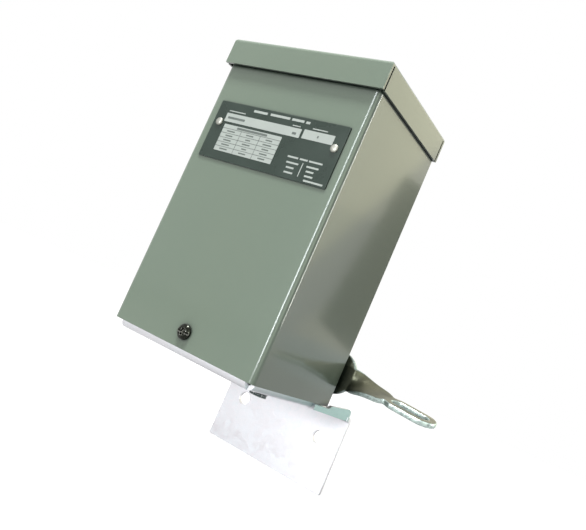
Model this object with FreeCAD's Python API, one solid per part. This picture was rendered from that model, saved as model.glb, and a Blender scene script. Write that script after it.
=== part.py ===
import FreeCAD, Part

import math
import os

from FreeCAD import Vector

# Lever-operated float switch in a sheet-steel box, in millimetres.
#
# Every piece is drawn in the box frame: X = 0 on the box's centre plane, Y = 0 on the cover's
# front face with +Y towards the wall, Z = 0 on the cover's lower edge.  save() moves it once into
# the part's own frame, whose origin is midway between the two mounting holes, on the face of the
# mounting flange that meets the wall.

# ---------------------------------------------------------------- driving dimensions
# box
box_width = 101.6
box_depth = 82.5
box_height = 173.1              # cover's lower edge to the top of the hood
cover_sheet = 1.5
cover_bend = 3.0                # outside bend radius of the cover
back_sheet = 2.0
slip = 0.3                      # clearance between sheets that slide past each other

# hood
hood_sheet = 1.5
hood_skirt = 15.7
hood_front_overhang = 2.7
hood_side_overhang = 1.9
hood_bend = 2.4
hood_rivet_radius = 1.6
hood_rivet_head = 3.0
hood_rivet_height = 1.2
seam_gap = 1.1                  # open seam between two flaps at a corner
cover_top_gap = 1.0

# base pan, ledge and mounting flange, folded from one sheet
base_sheet = 2.4
base_show = 3.6                 # height of the base below the cover's lower edge
base_bend = 3.6
base_lip = 12.6                 # height of the upturned lips above the cover's lower edge
wall_gap = 18.9                 # back of the box to the wall
back_flange_depth = 11.0        # side flanges of the back plate
flange_width = 87.9
flange_drop = 49.4              # cover's lower edge to the flange's lower edge
flange_corner = 1.5
bracket_offset = 15.6           # the flange stands off the box's centre plane by this much
flare_start = 14.0              # the ledge's flare begins this far ahead of the box's back
ledge_lip_front = 5.2
ledge_lip_rear = 7.2
hole_spacing = 58.7
hole_dia = 7.9
hole_drop = 19.5                # cover's lower edge to the line of the mounting holes

# conduit knock-out in the base
knockout_dia = 22.2
knockout_slit = 0.8
knockout_tie = 3.0
knockout_x = -14.0
knockout_y = 33.0

# nameplate
plate_width = 87.6
plate_height = 34.0
plate_z = 118.1                 # height of the plate's centre
plate_sheet = 0.6
plate_corner = 0.4
rivet_x = 39.4
rivet_z = 122.5
rivet_head_dia = 4.6
rivet_head_height = 1.0
rivet_shank_dia = 2.4

# cover screw and ground screw
screw_z = 8.6
screw_head_dia = 8.2
screw_head_height = 2.6
screw_shank_dia = 4.2
screw_length = 9.0
ground_inset = 11.3             # ground screw to the box's side
ground_y = 26.0
ground_across_flats = 8.0
ground_flange_dia = 11.0
ground_head_height = 2.6
ground_shank_dia = 4.8
ground_shank_length = 8.4
ground_collar = 1.4
ground_nut_height = 3.6

# lever and its shaft
pivot_inset = 10.2              # pivot to the box's side
pivot_z = 20.4
shaft_dia = 7.0
shaft_inside = 46.5             # length of the shaft inside the back plate
shaft_thread_dia = 6.0
shaft_flats = 5.4               # across the flats that carry the lever
running_gap = 0.04              # radial clearance of a shaft in its bush
lever_gap = 5.6                 # back of the box to the lever
lever_sheet = 3.0
lever_hub_radius = 12.8
lever_hub_offset = 3.4          # the round root is this much further out than the pivot
lever_width = 14.2
lever_droop = 4.1               # degrees below level with the float down
lever_travel = 22.0             # degrees from float down to float up
twist_start = 15.0              # from the pivot, along the lever
twist_end = 39.6
first_twist = 63.0              # degrees, most of it close to the hub
last_twist = 15.0               # degrees, just before the eye
eye_width = 18.2
eye_slot_width = 8.4
eye_first = 46.6                # centre of the slot's inner end, from the pivot
eye_last = 61.0                 # centre of the slot's outer end, from the pivot
eye_shoulder = 3.6              # length over which the strap widens to the eye
strap_edge = 0.5                # broken edges of the strap
bush_dia = 9.0
bush_flange_dia = 11.4
bush_flange_sheet = 1.2
bush_stand_out = 0.25
washer_sheet = 1.2
nut_height = 4.8
nut_across_flats = 10.0

# mechanism frame
frame_sheet = 2.0
frame_depth = 40.5
frame_floor = 5.0
frame_left_inset = 18.8         # mechanism frame to the box's left side
frame_right_inset = 4.8
frame_top = 112.0
frame_ear_top = 34.0
frame_rivet_radius = 2.0
frame_rivet_inset = 7.0

# drive arm and rocker: an arm on the shaft moves the rocker through a pin in a fork
arm_length = 18.0
fork_length = 34.0
arm_behind = 24.5               # front of the drive arm to the back plate
arm_thickness = 5.0
arm_width = 8.0
arm_hub_dia = 14.0
roll_pin_dia = 2.5
drive_pin_dia = 5.0
fork_clearance = 0.22
rocker_gap = 1.0
rocker_thickness = 7.0
rocker_hub_dia = 16.0
rocker_pin_dia = 5.0
rocker_arm_width = 11.0
rocker_head = 9.0               # rocker's top above its upper post
rocker_post_dia = 4.0
rocker_post_end = 11.0
stop_pin_dia = 5.0
stop_gap = 0.3

# contacts
pole_pitch = 20.0
first_pole = 49.0               # from the rocker's pin to the first bridge
bridge_length = 24.0
bridge_height = 12.5
bridge_sheet = 1.5
bridge_face = 9.5               # from the rocker's centre line to the bridge's contact side
contact_gap = 0.35
strip_width = 5.0
strip_sheet = 1.5
strip_step = 7.0
pad_dia = 4.4
block_width = 33.5
block_depth = 32.5
block_margin = 6.5
rib_depth = 6.0
rib_sheet = 1.2
terminal_inset = 9.0            # terminal screws to the block's sides
terminal_head_dia = 7.0
terminal_shank_dia = 3.5
terminal_screw_depth = 6.0
terminal_hole_depth = 8.0
block_screw_dia = 4.0
block_screw_inset = 6.0
block_screw_sink = 3.0

# ---------------------------------------------------------------- derived sizes
half_width = box_width / 2
half_travel = lever_travel / 2
inner_half = half_width - cover_sheet - slip
base_bottom = -base_show
base_top = base_bottom + base_sheet
flange_back = box_depth + wall_gap
flange_front = flange_back - base_sheet
hood_half = half_width + hood_side_overhang
hood_low = box_height - hood_skirt
cover_top = box_height - hood_sheet - cover_top_gap
hood_rivet_z = box_height - hood_skirt / 2
hood_rivet_x = (-half_width * 0.6, half_width * 0.6)
back_inside = box_depth - back_sheet
ground_x = half_width - ground_inset
pivot_x = half_width - pivot_inset
shaft_front = back_inside - shaft_inside
frame_back = back_inside
frame_inside = frame_back - frame_sheet
frame_front = back_inside - frame_depth
frame_left = -half_width + frame_left_inset
frame_right = half_width - frame_right_inset
arm_front = back_inside - arm_behind
block_right = frame_right
block_left = block_right - block_width
block_front = frame_inside - block_depth
terminal_near = block_left + terminal_inset
terminal_far = block_right - terminal_inset
lever_front = box_depth + lever_gap
lever_back = lever_front + lever_sheet
lever_mid = lever_front + lever_sheet / 2
nut_back = lever_back + washer_sheet + nut_height
frame_rivet_places = ((frame_left + frame_rivet_inset, frame_floor + frame_rivet_inset),
                      (frame_left + frame_rivet_inset, frame_top - frame_rivet_inset),
                      (frame_right - frame_rivet_inset, frame_top - frame_rivet_inset))
rocker_x = pivot_x - arm_length - fork_length
rocker_front = arm_front + arm_thickness + rocker_gap
rocker_back = rocker_front + rocker_thickness
rocker_mid = (rocker_front + rocker_back) / 2
block_screw_x = (block_left + block_screw_inset, block_right - block_screw_inset)
block_screw_z = pivot_z + first_pole + pole_pitch / 2
block_low = pivot_z + first_pole - strip_step / 2 - block_margin
block_high = pivot_z + first_pole + pole_pitch + strip_step / 2 + block_margin
rocker_swing = math.degrees(math.atan2(
    arm_length * math.sin(math.radians(half_travel)),
    arm_length + fork_length - arm_length * math.cos(math.radians(half_travel))))


# ---------------------------------------------------------------- drawing helpers
def box(x0, x1, y0, y1, z0, z1):
    """Block between two corners."""
    return Part.makeBox(x1 - x0, y1 - y0, z1 - z0, Vector(x0, y0, z0))


def cylinder(radius, start, end):
    """Cylinder of a radius between two points."""
    axis = end - start
    return Part.makeCylinder(radius, axis.Length, start, axis)


def pin_y(radius, x, z, y0, y1):
    """Cylinder along Y."""
    return cylinder(radius, Vector(x, y0, z), Vector(x, y1, z))


def rounded_wire(corners, place):
    """Closed outline through (u, v, radius) corners; place(u, v) turns each into a point."""
    points = [place(u, v) for u, v, _ in corners]
    count = len(points)
    edges = []
    starts = []
    ends = []
    for i in range(count):
        corner = points[i]
        before = (points[i - 1] - corner).normalize()
        after = (points[(i + 1) % count] - corner).normalize()
        radius = corners[i][2]
        half = before.getAngle(after) / 2
        reach = radius / math.tan(half) if radius > 0 else 0.0
        starts.append(corner + before * reach)
        ends.append(corner + after * reach)
        if radius > 0:
            bisector = (before + after).normalize()
            middle = corner + bisector * (radius / math.sin(half) - radius)
            edges.append(Part.Arc(starts[i], middle, ends[i]).toShape())
    for i in range(count):
        nxt = (i + 1) % count
        if ends[i].distanceToPoint(starts[nxt]) > 1e-6:
            edges.append(Part.makeLine(ends[i], starts[nxt]))
    return Part.Wire(Part.__sortEdges__(edges))


def prism_x(corners, x0, x1):
    """Outline of (y, z, radius) corners, extruded along X."""
    wire = rounded_wire(corners, lambda u, v: Vector(x0, u, v))
    return Part.Face(wire).extrude(Vector(x1 - x0, 0, 0))


def prism_y(corners, y0, y1):
    """Outline of (x, z, radius) corners, extruded along Y."""
    wire = rounded_wire(corners, lambda u, v: Vector(u, y0, v))
    return Part.Face(wire).extrude(Vector(0, y1 - y0, 0))


def prism_z(corners, z0, z1):
    """Outline of (x, y, radius) corners, extruded along Z."""
    wire = rounded_wire(corners, lambda u, v: Vector(u, v, z0))
    return Part.Face(wire).extrude(Vector(0, 0, z1 - z0))


def l_corners(tip, heel_u, heel_v, end, sheet, bend, side):
    """Corners of a folded strip: free edge at v = tip, bend at (heel_u, heel_v), other end at u = end.

    side is +1 where the strip runs towards larger u from the bend, -1 towards smaller u.
    """
    rise = 1 if heel_v > tip else -1
    return [(heel_u, tip, 0), (heel_u, heel_v, bend), (end, heel_v, 0),
            (end, heel_v - rise * sheet, 0),
            (heel_u + side * sheet, heel_v - rise * sheet, bend - sheet),
            (heel_u + side * sheet, tip, 0)]


def fuse(first, *others):
    """One solid without seams between coplanar faces."""
    return first.fuse(list(others)).removeSplitter()


def spring(radius, wire_radius, start, axis, length, turns):
    """Coil spring along an axis, inside the given length, as half turns that meet tangentially."""
    step = (length - 2 * wire_radius) / (2 * turns)
    lean = math.atan2(step, 2 * radius)
    half_turn_radius = math.hypot(radius, step / 2)
    halves = []
    for i in range(2 * turns):
        side = 1 if i % 2 == 0 else -1
        first = Vector(side * radius, 0, wire_radius + i * step)
        middle = Vector(0, 0, wire_radius + (i + 0.5) * step)
        face = Part.Face(Part.Wire(Part.makeCircle(wire_radius, first, Vector(0, 1, 0))))
        spin = Vector(math.sin(lean) * side, 0, math.cos(lean))
        assert abs((first - middle).Length - half_turn_radius) < 1e-6
        halves.append(face.revolve(middle, spin, 180))
    coil = halves[0].fuse(halves[1:])
    coil.Placement = FreeCAD.Placement(start, FreeCAD.Rotation(Vector(0, 0, 1), axis))
    return coil


def hexagon_prism(across_flats, x, z, y0, y1):
    """Hexagonal nut blank along Y."""
    radius = across_flats / math.sqrt(3)
    points = [Vector(x + radius * math.cos(math.radians(60 * i)), y0,
                     z + radius * math.sin(math.radians(60 * i))) for i in range(7)]
    return Part.Face(Part.makePolygon(points)).extrude(Vector(0, y1 - y0, 0))


def hexagon_post(across_flats, z0, z1):
    """Upright hexagonal blank at the ground screw."""
    radius = across_flats / math.sqrt(3)
    points = [Vector(ground_x + radius * math.cos(math.radians(60 * i + 30)),
                     ground_y + radius * math.sin(math.radians(60 * i + 30)), z0)
              for i in range(7)]
    return Part.Face(Part.makePolygon(points)).extrude(Vector(0, 0, z1 - z0))


def pan_head(radius, height, x, z, face, direction):
    """Domed screw head on a face normal to Y; direction is -1 towards the front."""
    sphere_radius = (radius ** 2 + height ** 2) / (2 * height) + radius * 0.12
    low = math.sqrt(sphere_radius ** 2 - radius ** 2)
    blank = pin_y(radius, x, z, face, face + direction * height)
    ball = Part.makeSphere(sphere_radius, Vector(x, face - direction * (low - height * 0.45), z))
    return blank.common(ball)


def rivet(x, z, y_head, y_tail, head_radius, shank_radius, head_height):
    """Headed rivet through the sheets between two faces, with a low upset tail."""
    head = pan_head(head_radius, head_height, x, z, y_head, -1)
    shank = pin_y(shank_radius, x, z, y_head - head_height * 0.3, y_tail)
    tail = pan_head(head_radius * 0.85, head_height * 0.8, x, z, y_tail, 1)
    return head.fuse([shank, tail]).removeSplitter()


def save(node, shape):
    """Move a piece into the part's frame and write it."""
    moved = shape.copy()
    moved.translate(Vector(-bracket_offset, -flange_back, hole_drop))
    moved.exportStep("parts/" + node + ".step")


# ---------------------------------------------------------------- box
def cover():
    """U-shaped front cover: front and two sides, open below, above and behind."""
    inner = half_width - cover_sheet
    inner_bend = cover_bend - cover_sheet
    shell = prism_z([(-half_width, box_depth, 0), (-half_width, 0, cover_bend),
                     (half_width, 0, cover_bend), (half_width, box_depth, 0),
                     (inner, box_depth, 0), (inner, cover_sheet, inner_bend),
                     (-inner, cover_sheet, inner_bend), (-inner, box_depth, 0)], 0, cover_top)
    holes = [pin_y(screw_shank_dia / 2 + slip, 0, screw_z, -1, cover_sheet + 1)]
    for side in (-1, 1):
        holes.append(pin_y(rivet_shank_dia / 2, side * rivet_x, rivet_z, -1, cover_sheet + 1))
    return shell.cut(holes)


def rounded_cap(half, front, back, low, top, radius):
    """Block whose four top edges are rounded."""
    block = box(-half, half, front, back, low, top)
    rims = [e for e in block.Edges if abs(e.BoundBox.ZMin - top) < 1e-6]
    return block.makeFillet(radius, rims)


def hood():
    """Rain hood: folded cap with rounded top edges and an open seam beside each corner."""
    front = -hood_front_overhang
    back = box_depth + hood_sheet
    outside = rounded_cap(hood_half, front, back, hood_low, box_height, hood_bend)
    inside = rounded_cap(hood_half - hood_sheet, front + hood_sheet, back - hood_sheet,
                         hood_low - 1, box_height - hood_sheet, hood_bend - hood_sheet)
    seams = []
    for side in (-1, 1):
        inner = side * (hood_half - hood_sheet - slip)
        outer = side * (hood_half + 1)
        for seam in (front + hood_sheet, back - hood_sheet - seam_gap):
            seams.append(box(min(inner, outer), max(inner, outer), seam, seam + seam_gap,
                             hood_low - 1, box_height - hood_bend))
    seams += [pin_y(hood_rivet_radius, x, hood_rivet_z, back_inside, back + 1)
              for x in hood_rivet_x]
    return outside.cut([inside] + seams)


def hood_rivets():
    """Rivets that hold the hood's rear flap to the back plate."""
    return Part.makeCompound([
        rivet(x, hood_rivet_z, back_inside, box_depth + hood_sheet, hood_rivet_head,
              hood_rivet_radius, hood_rivet_height)
        for x in hood_rivet_x])


def back_plate():
    """Back of the box, with side flanges inside the cover and a foot on the base pan."""
    flange_start = box_depth - back_flange_depth
    bend = back_sheet + 1.0
    inner = inner_half - back_sheet
    shell = prism_z([(-inner_half, flange_start, 0), (-inner_half, box_depth, bend),
                     (inner_half, box_depth, bend), (inner_half, flange_start, 0),
                     (inner, flange_start, 0), (inner, back_inside, bend - back_sheet),
                     (-inner, back_inside, bend - back_sheet), (-inner, flange_start, 0)],
                    base_top, cover_top)
    holes = [pin_y(bush_dia / 2, pivot_x, pivot_z, back_inside - 1, box_depth + 1)]
    holes += [pin_y(hood_rivet_radius, x, hood_rivet_z, back_inside - 1, box_depth + 1)
              for x in hood_rivet_x]
    holes += [pin_y(frame_rivet_radius, x, z, back_inside - 1, box_depth + 1)
              for x, z in frame_rivet_places]
    return shell.cut(holes)


def flared_lip():
    """Upturned lip along the ledge's flared edge, taller towards the wall."""
    start = Vector(half_width - slip, box_depth - flare_start, 0)
    end = Vector(bracket_offset + flange_width / 2, flange_front - base_bend / 2, 0)
    along = end - start
    length = along.Length
    along.normalize()
    inward = Vector(-along.y, along.x, 0)

    def place(u, v):
        return start + along * u + Vector(0, 0, v)

    clear = (base_sheet + cover_sheet) / (end.x - start.x) * length
    outline = rounded_wire([(0, base_bottom, 0), (length, base_bottom, 0),
                            (length, base_bottom + ledge_lip_rear, ledge_lip_rear * 0.4),
                            (clear + slip, base_bottom + ledge_lip_front, 1.0),
                            (clear - 2.0, -slip, 1.0), (0, -slip, 0)], place)
    return Part.Face(outline).extrude(inward * base_sheet)


def base_pan():
    """Bottom pan, rear ledge, flared lip and mounting flange, folded from one sheet."""
    lip_back = box_depth - back_flange_depth - 2.0
    front = cover_sheet + slip
    inset = base_bend
    half_flange = flange_width / 2
    flange_left = bracket_offset - half_flange
    flange_right = bracket_offset + half_flange
    plate = prism_z([(-inner_half + inset, front + inset, 0), (inner_half - inset, front + inset, 0),
                     (inner_half - inset, lip_back, 0), (inner_half, lip_back, 0),
                     (half_width - slip, box_depth - flare_start, 0),
                     (flange_right, flange_front - base_bend / 2, 0),
                     (flange_right, flange_front, 0), (flange_left, flange_front, 0),
                     (flange_left, box_depth, 2.0), (-inner_half, box_depth, 0),
                     (-inner_half, lip_back, 0), (-inner_half + inset, lip_back, 0)],
                    base_bottom, base_top)
    pieces = [flared_lip()]
    for side in (-1, 1):
        corners = l_corners(base_lip, side * inner_half, base_bottom,
                            side * (inner_half - inset - 1), base_sheet, base_bend, -side)
        pieces.append(prism_y(corners, front + inset, lip_back))
        low_x = min(side * inner_half, side * (inner_half - base_sheet))
        pieces.append(box(low_x, low_x + base_sheet, front + base_sheet + seam_gap, lip_back,
                          base_bottom + inset, base_lip))
    corners = l_corners(base_lip, front, base_bottom, front + inset + 1,
                        base_sheet, base_bend, 1)
    pieces.append(prism_x(corners, -inner_half + inset, inner_half - inset))
    pieces.append(box(-inner_half + slip, inner_half - slip, front, front + base_sheet,
                      base_bottom + inset, base_lip))
    fold = l_corners(base_bottom - base_bend, flange_back, base_top,
                     flange_front - base_bend, base_sheet, base_bend, -1)
    pieces.append(prism_x(fold, flange_left, flange_right))
    leaf = prism_y([(flange_left, base_bottom - base_bend, 0),
                    (flange_right, base_bottom - base_bend, 0),
                    (flange_right, -flange_drop, flange_corner),
                    (flange_left, -flange_drop, flange_corner)], flange_front, flange_back)
    pieces.append(leaf)
    holes = [pin_y(hole_dia / 2, bracket_offset + side * hole_spacing / 2, -hole_drop,
                   flange_front - 1, flange_back + 1) for side in (-1, 1)]
    holes.append(pin_y(screw_shank_dia / 2, 0, screw_z, 0, front + base_sheet + 1))
    holes.append(Part.makeCylinder(ground_shank_dia / 2, base_sheet + 2,
                                   Vector(ground_x, ground_y, base_bottom - 1)))
    return fuse(plate, *pieces).cut(holes + knockout_slits())


def knockout_slits():
    """Ring of slits, broken by two ties, that lets the conduit disc be punched out."""
    centre = Vector(knockout_x, knockout_y, base_bottom - 1)
    ring = Part.makeCylinder(knockout_dia / 2, base_sheet + 2, centre)
    ring = ring.cut(Part.makeCylinder(knockout_dia / 2 - knockout_slit, base_sheet + 2, centre))
    tie = box(knockout_x - knockout_dia, knockout_x + knockout_dia, knockout_y - knockout_tie / 2,
              knockout_y + knockout_tie / 2, base_bottom - 2, base_top + 2)
    return ring.cut(tie).Solids


# ---------------------------------------------------------------- fasteners and nameplate
def nameplate():
    """Thin plate riveted to the cover's front."""
    half = plate_width / 2
    low = plate_z - plate_height / 2
    high = plate_z + plate_height / 2
    sheet = prism_y([(-half, low, plate_corner), (half, low, plate_corner),
                     (half, high, plate_corner), (-half, high, plate_corner)], -plate_sheet, 0)
    return sheet.cut([pin_y(rivet_shank_dia / 2, side * rivet_x, rivet_z, -plate_sheet - 1, 1)
                      for side in (-1, 1)])


def nameplate_rivets():
    """The two round-headed rivets of the nameplate."""
    pieces = []
    for side in (-1, 1):
        head = pan_head(rivet_head_dia / 2, rivet_head_height, side * rivet_x, rivet_z,
                        -plate_sheet, -1)
        shank = pin_y(rivet_shank_dia / 2, side * rivet_x, rivet_z,
                      -plate_sheet - rivet_head_height * 0.3, cover_sheet + 1.5)
        pieces.append(head.fuse(shank).removeSplitter())
    return Part.makeCompound(pieces)


def cover_screw():
    """Pan-head screw with a slot and cross recess, into the base pan's front lip."""
    head = pan_head(screw_head_dia / 2, screw_head_height, 0, screw_z, 0, -1)
    shank = pin_y(screw_shank_dia / 2, 0, screw_z, -screw_head_height * 0.3, screw_length)
    reach = screw_head_dia
    slot = box(-reach, reach, -reach, -screw_head_height * 0.55, screw_z - 0.65, screw_z + 0.65)
    cross = box(-0.65, 0.65, -reach, -screw_head_height * 0.45,
                screw_z - screw_head_dia * 0.24, screw_z + screw_head_dia * 0.24)
    return head.fuse(shank).removeSplitter().cut([slot, cross])


def ground_screw():
    """Flanged hexagon-head screw, up through the base pan."""
    head = hexagon_post(ground_across_flats, base_bottom - ground_head_height, base_bottom)
    collar = Part.makeCone(ground_across_flats / 2, ground_flange_dia / 2, ground_collar,
                           Vector(ground_x, ground_y, base_bottom - ground_collar))
    shank = Part.makeCylinder(ground_shank_dia / 2, ground_shank_length,
                              Vector(ground_x, ground_y, base_bottom))
    return head.fuse([collar, shank]).removeSplitter()


def ground_nut():
    """Hexagon nut on the ground screw, inside the pan."""
    blank = hexagon_post(ground_across_flats, base_top, base_top + ground_nut_height)
    bore = Part.makeCylinder(ground_shank_dia / 2, ground_shank_length,
                             Vector(ground_x, ground_y, base_bottom))
    return blank.cut(bore)


# ---------------------------------------------------------------- shaft and lever
def double_d(radius, flats, x, z, y0, y1, angle):
    """Round bar with two flats, turned by an angle about Y."""
    bar = pin_y(radius, x, z, y0, y1)
    keep = box(x - flats / 2, x + flats / 2, y0 - 1, y1 + 1, z - 2 * radius, z + 2 * radius)
    keep.rotate(Vector(x, 0, z), Vector(0, 1, 0), angle)
    return bar.common(keep)


def pivot_shaft():
    """Shaft from the mechanism to the lever: journal, flats for the lever, thread for the nut."""
    journal = pin_y(shaft_dia / 2, pivot_x, pivot_z, shaft_front, lever_front)
    seat = double_d(shaft_dia / 2, shaft_flats, pivot_x, pivot_z, lever_front, lever_back,
                    lever_droop)
    thread = pin_y(shaft_thread_dia / 2 - 0.4, pivot_x, pivot_z, lever_back, nut_back + 1.2)
    shaft = journal.fuse([seat, thread]).removeSplitter().cut(place_on_shaft(roll_pin_core()))
    front_edge = [e for e in shaft.Edges
                  if abs(e.BoundBox.YMin - shaft_front) < 1e-6 and e.BoundBox.YLength < 1e-6]
    return shaft.makeChamfer(0.6, front_edge)


def shaft_spacer():
    """Collar on the shaft between the back plate's bush and the lever."""
    front = box_depth + bush_stand_out + slip
    ring = pin_y(bush_flange_dia / 2, pivot_x, pivot_z, front, lever_front)
    return ring.cut(pin_y(shaft_dia / 2, pivot_x, pivot_z, front - 1, lever_front + 1))


def lever_washer():
    """Flat washer under the lever's nut."""
    ring = pin_y(6.0, pivot_x, pivot_z, lever_back, lever_back + washer_sheet)
    return ring.cut(pin_y(shaft_thread_dia / 2 - 0.4, pivot_x, pivot_z, lever_back - 1, nut_back))


def lever_nut():
    """Hexagon nut that clamps the lever on its flats."""
    front = lever_back + washer_sheet
    blank = hexagon_prism(nut_across_flats, pivot_x, pivot_z, front, nut_back)
    crown = Part.makeCone(nut_across_flats * 0.48 + nut_height, nut_across_flats * 0.48, nut_height,
                          Vector(pivot_x, front, pivot_z), Vector(0, 1, 0))
    hole = pin_y(shaft_thread_dia / 2 - 0.4, pivot_x, pivot_z, front - 1, nut_back + 1)
    return blank.common(crown).cut(hole)


def strap_section(station, angle):
    """Cross-section wire of the strap at a distance along the lever, turned by the twist."""
    half_w = lever_width / 2
    half_t = lever_sheet / 2
    e = strap_edge
    outline = [(-half_w + e, -half_t), (half_w - e, -half_t), (half_w, -half_t + e),
               (half_w, half_t - e), (half_w - e, half_t), (-half_w + e, half_t),
               (-half_w, half_t - e), (-half_w, -half_t + e)]
    turn = math.radians(angle)
    points = []
    for across, through in outline:
        points.append(Vector(station,
                             through * math.cos(turn) + across * math.sin(turn),
                             across * math.cos(turn) - through * math.sin(turn)))
    return Part.makePolygon(points + [points[0]])


def twist_at(station):
    """Twist in degrees at a distance along the lever: quick at the hub and at the eye."""
    gone = (station - twist_start) / (twist_end - twist_start)
    return first_twist * (1 - (1 - gone) ** 3) + last_twist * gone ** 8


def lever_eye():
    """Flat outer end with its oblong eye, drawn in the strap's plane before it is turned."""
    half_w = lever_width / 2
    radius = eye_width / 2
    neck = twist_end + 1.5
    wide = neck + eye_shoulder
    tip = eye_last + radius
    body = prism_y([(twist_end, -half_w, 0), (neck, -half_w, 2.5), (wide, -radius, 2.5),
                    (tip, -radius, radius - 0.001), (tip, radius, radius - 0.001),
                    (wide, radius, 2.5), (neck, half_w, 2.5), (twist_end, half_w, 0)],
                   -lever_sheet / 2, lever_sheet / 2)
    slot_half = eye_slot_width / 2
    slot = prism_y([(eye_first - slot_half, -slot_half, slot_half - 0.001),
                    (eye_last + slot_half, -slot_half, slot_half - 0.001),
                    (eye_last + slot_half, slot_half, slot_half - 0.001),
                    (eye_first - slot_half, slot_half, slot_half - 0.001)],
                   -lever_sheet, lever_sheet)
    eye = body.cut(slot)
    rims = [e for e in eye.Edges if abs(abs(e.CenterOfMass.y) - lever_sheet / 2) < 1e-4
            and e.CenterOfMass.x > twist_end + 0.5]
    eye = eye.makeChamfer(strap_edge, rims)
    eye.rotate(Vector(0, 0, 0), Vector(1, 0, 0), -twist_at(twist_end))
    return eye


def lever_hub():
    """Round root of the lever with the hole that fits the shaft's flats."""
    half_t = lever_sheet / 2
    r = lever_hub_radius
    disc = prism_y([(-r, -r, r - 0.001), (lever_hub_offset + r, -r, r - 0.001),
                    (lever_hub_offset + r, r, r - 0.001), (-r, r, r - 0.001)], -half_t, half_t)
    half_w = lever_width / 2
    neck = box(0, twist_start, -half_t, half_t, -half_w, half_w)
    hub = fuse(disc, neck)
    rims = [e for e in hub.Edges if abs(abs(e.CenterOfMass.y) - half_t) < 1e-4
            and e.CenterOfMass.x < twist_start - 1.0]
    hub = hub.makeChamfer(strap_edge, rims)
    return hub.cut(double_d(shaft_dia / 2, shaft_flats, 0, 0, -lever_sheet, lever_sheet, 0))


def lever_arm():
    """One-piece lever: round root, quarter-twisted strap and oblong eye."""
    steps = 12
    stations = [twist_start + (twist_end - twist_start) * i / steps for i in range(steps + 1)]
    strap = Part.makeLoft([strap_section(s, twist_at(s)) for s in stations], True, False)
    arm = lever_hub().fuse([strap, lever_eye()])
    arm.rotate(Vector(0, 0, 0), Vector(0, 1, 0), lever_droop)
    arm.translate(Vector(pivot_x, lever_mid, pivot_z))
    return arm


def bush(flange_y, body_y0, body_y1, flange_step):
    """Flanged bearing bush for the shaft."""
    body = pin_y(bush_dia / 2, pivot_x, pivot_z, body_y0, body_y1)
    flange = pin_y(bush_flange_dia / 2, pivot_x, pivot_z, flange_y, flange_y + flange_step)
    bore = pin_y(shaft_dia / 2 + running_gap, pivot_x, pivot_z, body_y0 - 9, body_y1 + 9)
    return body.fuse(flange).cut(bore).removeSplitter()


def rear_bush():
    """Bush through the mechanism frame and the back plate."""
    return bush(frame_inside, frame_inside - 0.5, box_depth + bush_stand_out, -bush_flange_sheet)


def front_bush():
    """Bush in the front ear of the mechanism frame."""
    inside = frame_front + frame_sheet
    return bush(inside, frame_front - bush_stand_out, inside + 0.5, bush_flange_sheet)


# ---------------------------------------------------------------- mechanism
def mechanism_frame():
    """Channel that carries the shaft, the rocker pin and the contact block."""
    bend = frame_sheet + 1.5
    floor_right = pivot_x - lever_width
    channel = prism_x([(frame_front, frame_ear_top, 0), (frame_front, frame_floor, bend),
                       (frame_back, frame_floor, bend), (frame_back, frame_top, 0),
                       (frame_inside, frame_top, 0),
                       (frame_inside, frame_floor + frame_sheet, bend - frame_sheet),
                       (frame_front + frame_sheet, frame_floor + frame_sheet, bend - frame_sheet),
                       (frame_front + frame_sheet, frame_ear_top, 0)], frame_left, floor_right)
    clear = base_lip + 1.4
    rear_ear = prism_y([(floor_right - 1, clear, 0), (frame_right, clear, 4.0),
                        (frame_right, frame_top, 3.0), (floor_right - 1, frame_top, 0)],
                       frame_inside, frame_back)
    front_ear = prism_y([(floor_right - 1, clear, 0), (frame_right, clear, 4.0),
                         (frame_right, frame_ear_top, 4.0), (floor_right - 1, frame_ear_top, 0)],
                        frame_front, frame_front + frame_sheet)
    holes = [pin_y(bush_dia / 2, pivot_x, pivot_z, frame_front - 1, frame_back + 1),
             pin_y(rocker_pin_dia / 2, rocker_x, pivot_z, frame_front - 1, frame_back - 0.5)]
    holes += [pin_y(frame_rivet_radius, x, z, frame_inside - 1, frame_back + 1)
              for x, z in frame_rivet_places]
    holes += [pin_y(stop_pin_dia / 2 - 1.0, x, z, frame_front - 1, frame_front + frame_sheet + 1)
              for x, z in stop_places()]
    holes += [pin_y(block_screw_dia / 2, x, block_screw_z, frame_inside - 1, frame_back + 1)
              for x in block_screw_x]
    return fuse(channel, rear_ear, front_ear).cut(holes)


def frame_rivets():
    """Rivets that hold the mechanism frame to the back plate."""
    return Part.makeCompound([rivet(x, z, frame_inside, box_depth, 3.6, frame_rivet_radius, 1.8)
                              for x, z in frame_rivet_places])


def rest_direction():
    """Direction of the drive arm with the float down, and the side that faces its stop."""
    angle = math.radians(180 - half_travel)
    return math.cos(angle), math.sin(angle)


def stop_places():
    """Centres of the two stop pins, one above and one below the drive arm."""
    along_x, along_z = rest_direction()
    reach = arm_length * 0.72
    offset = arm_width / 2 + stop_pin_dia / 2 + stop_gap
    x = pivot_x + along_x * reach + along_z * offset
    rise = along_z * reach - along_x * offset
    return [(x, pivot_z + rise), (x, pivot_z - rise)]


def stop_pins():
    """Shouldered pins on the frame's front ear that end the lever's travel."""
    pieces = []
    for x, z in stop_places():
        body = pin_y(stop_pin_dia / 2, x, z, frame_front + frame_sheet, arm_front + arm_thickness)
        spigot = pin_y(stop_pin_dia / 2 - 1.0, x, z, frame_front - 0.8,
                       frame_front + frame_sheet + 1)
        pieces.append(body.fuse(spigot).removeSplitter())
    return Part.makeCompound(pieces)


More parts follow.
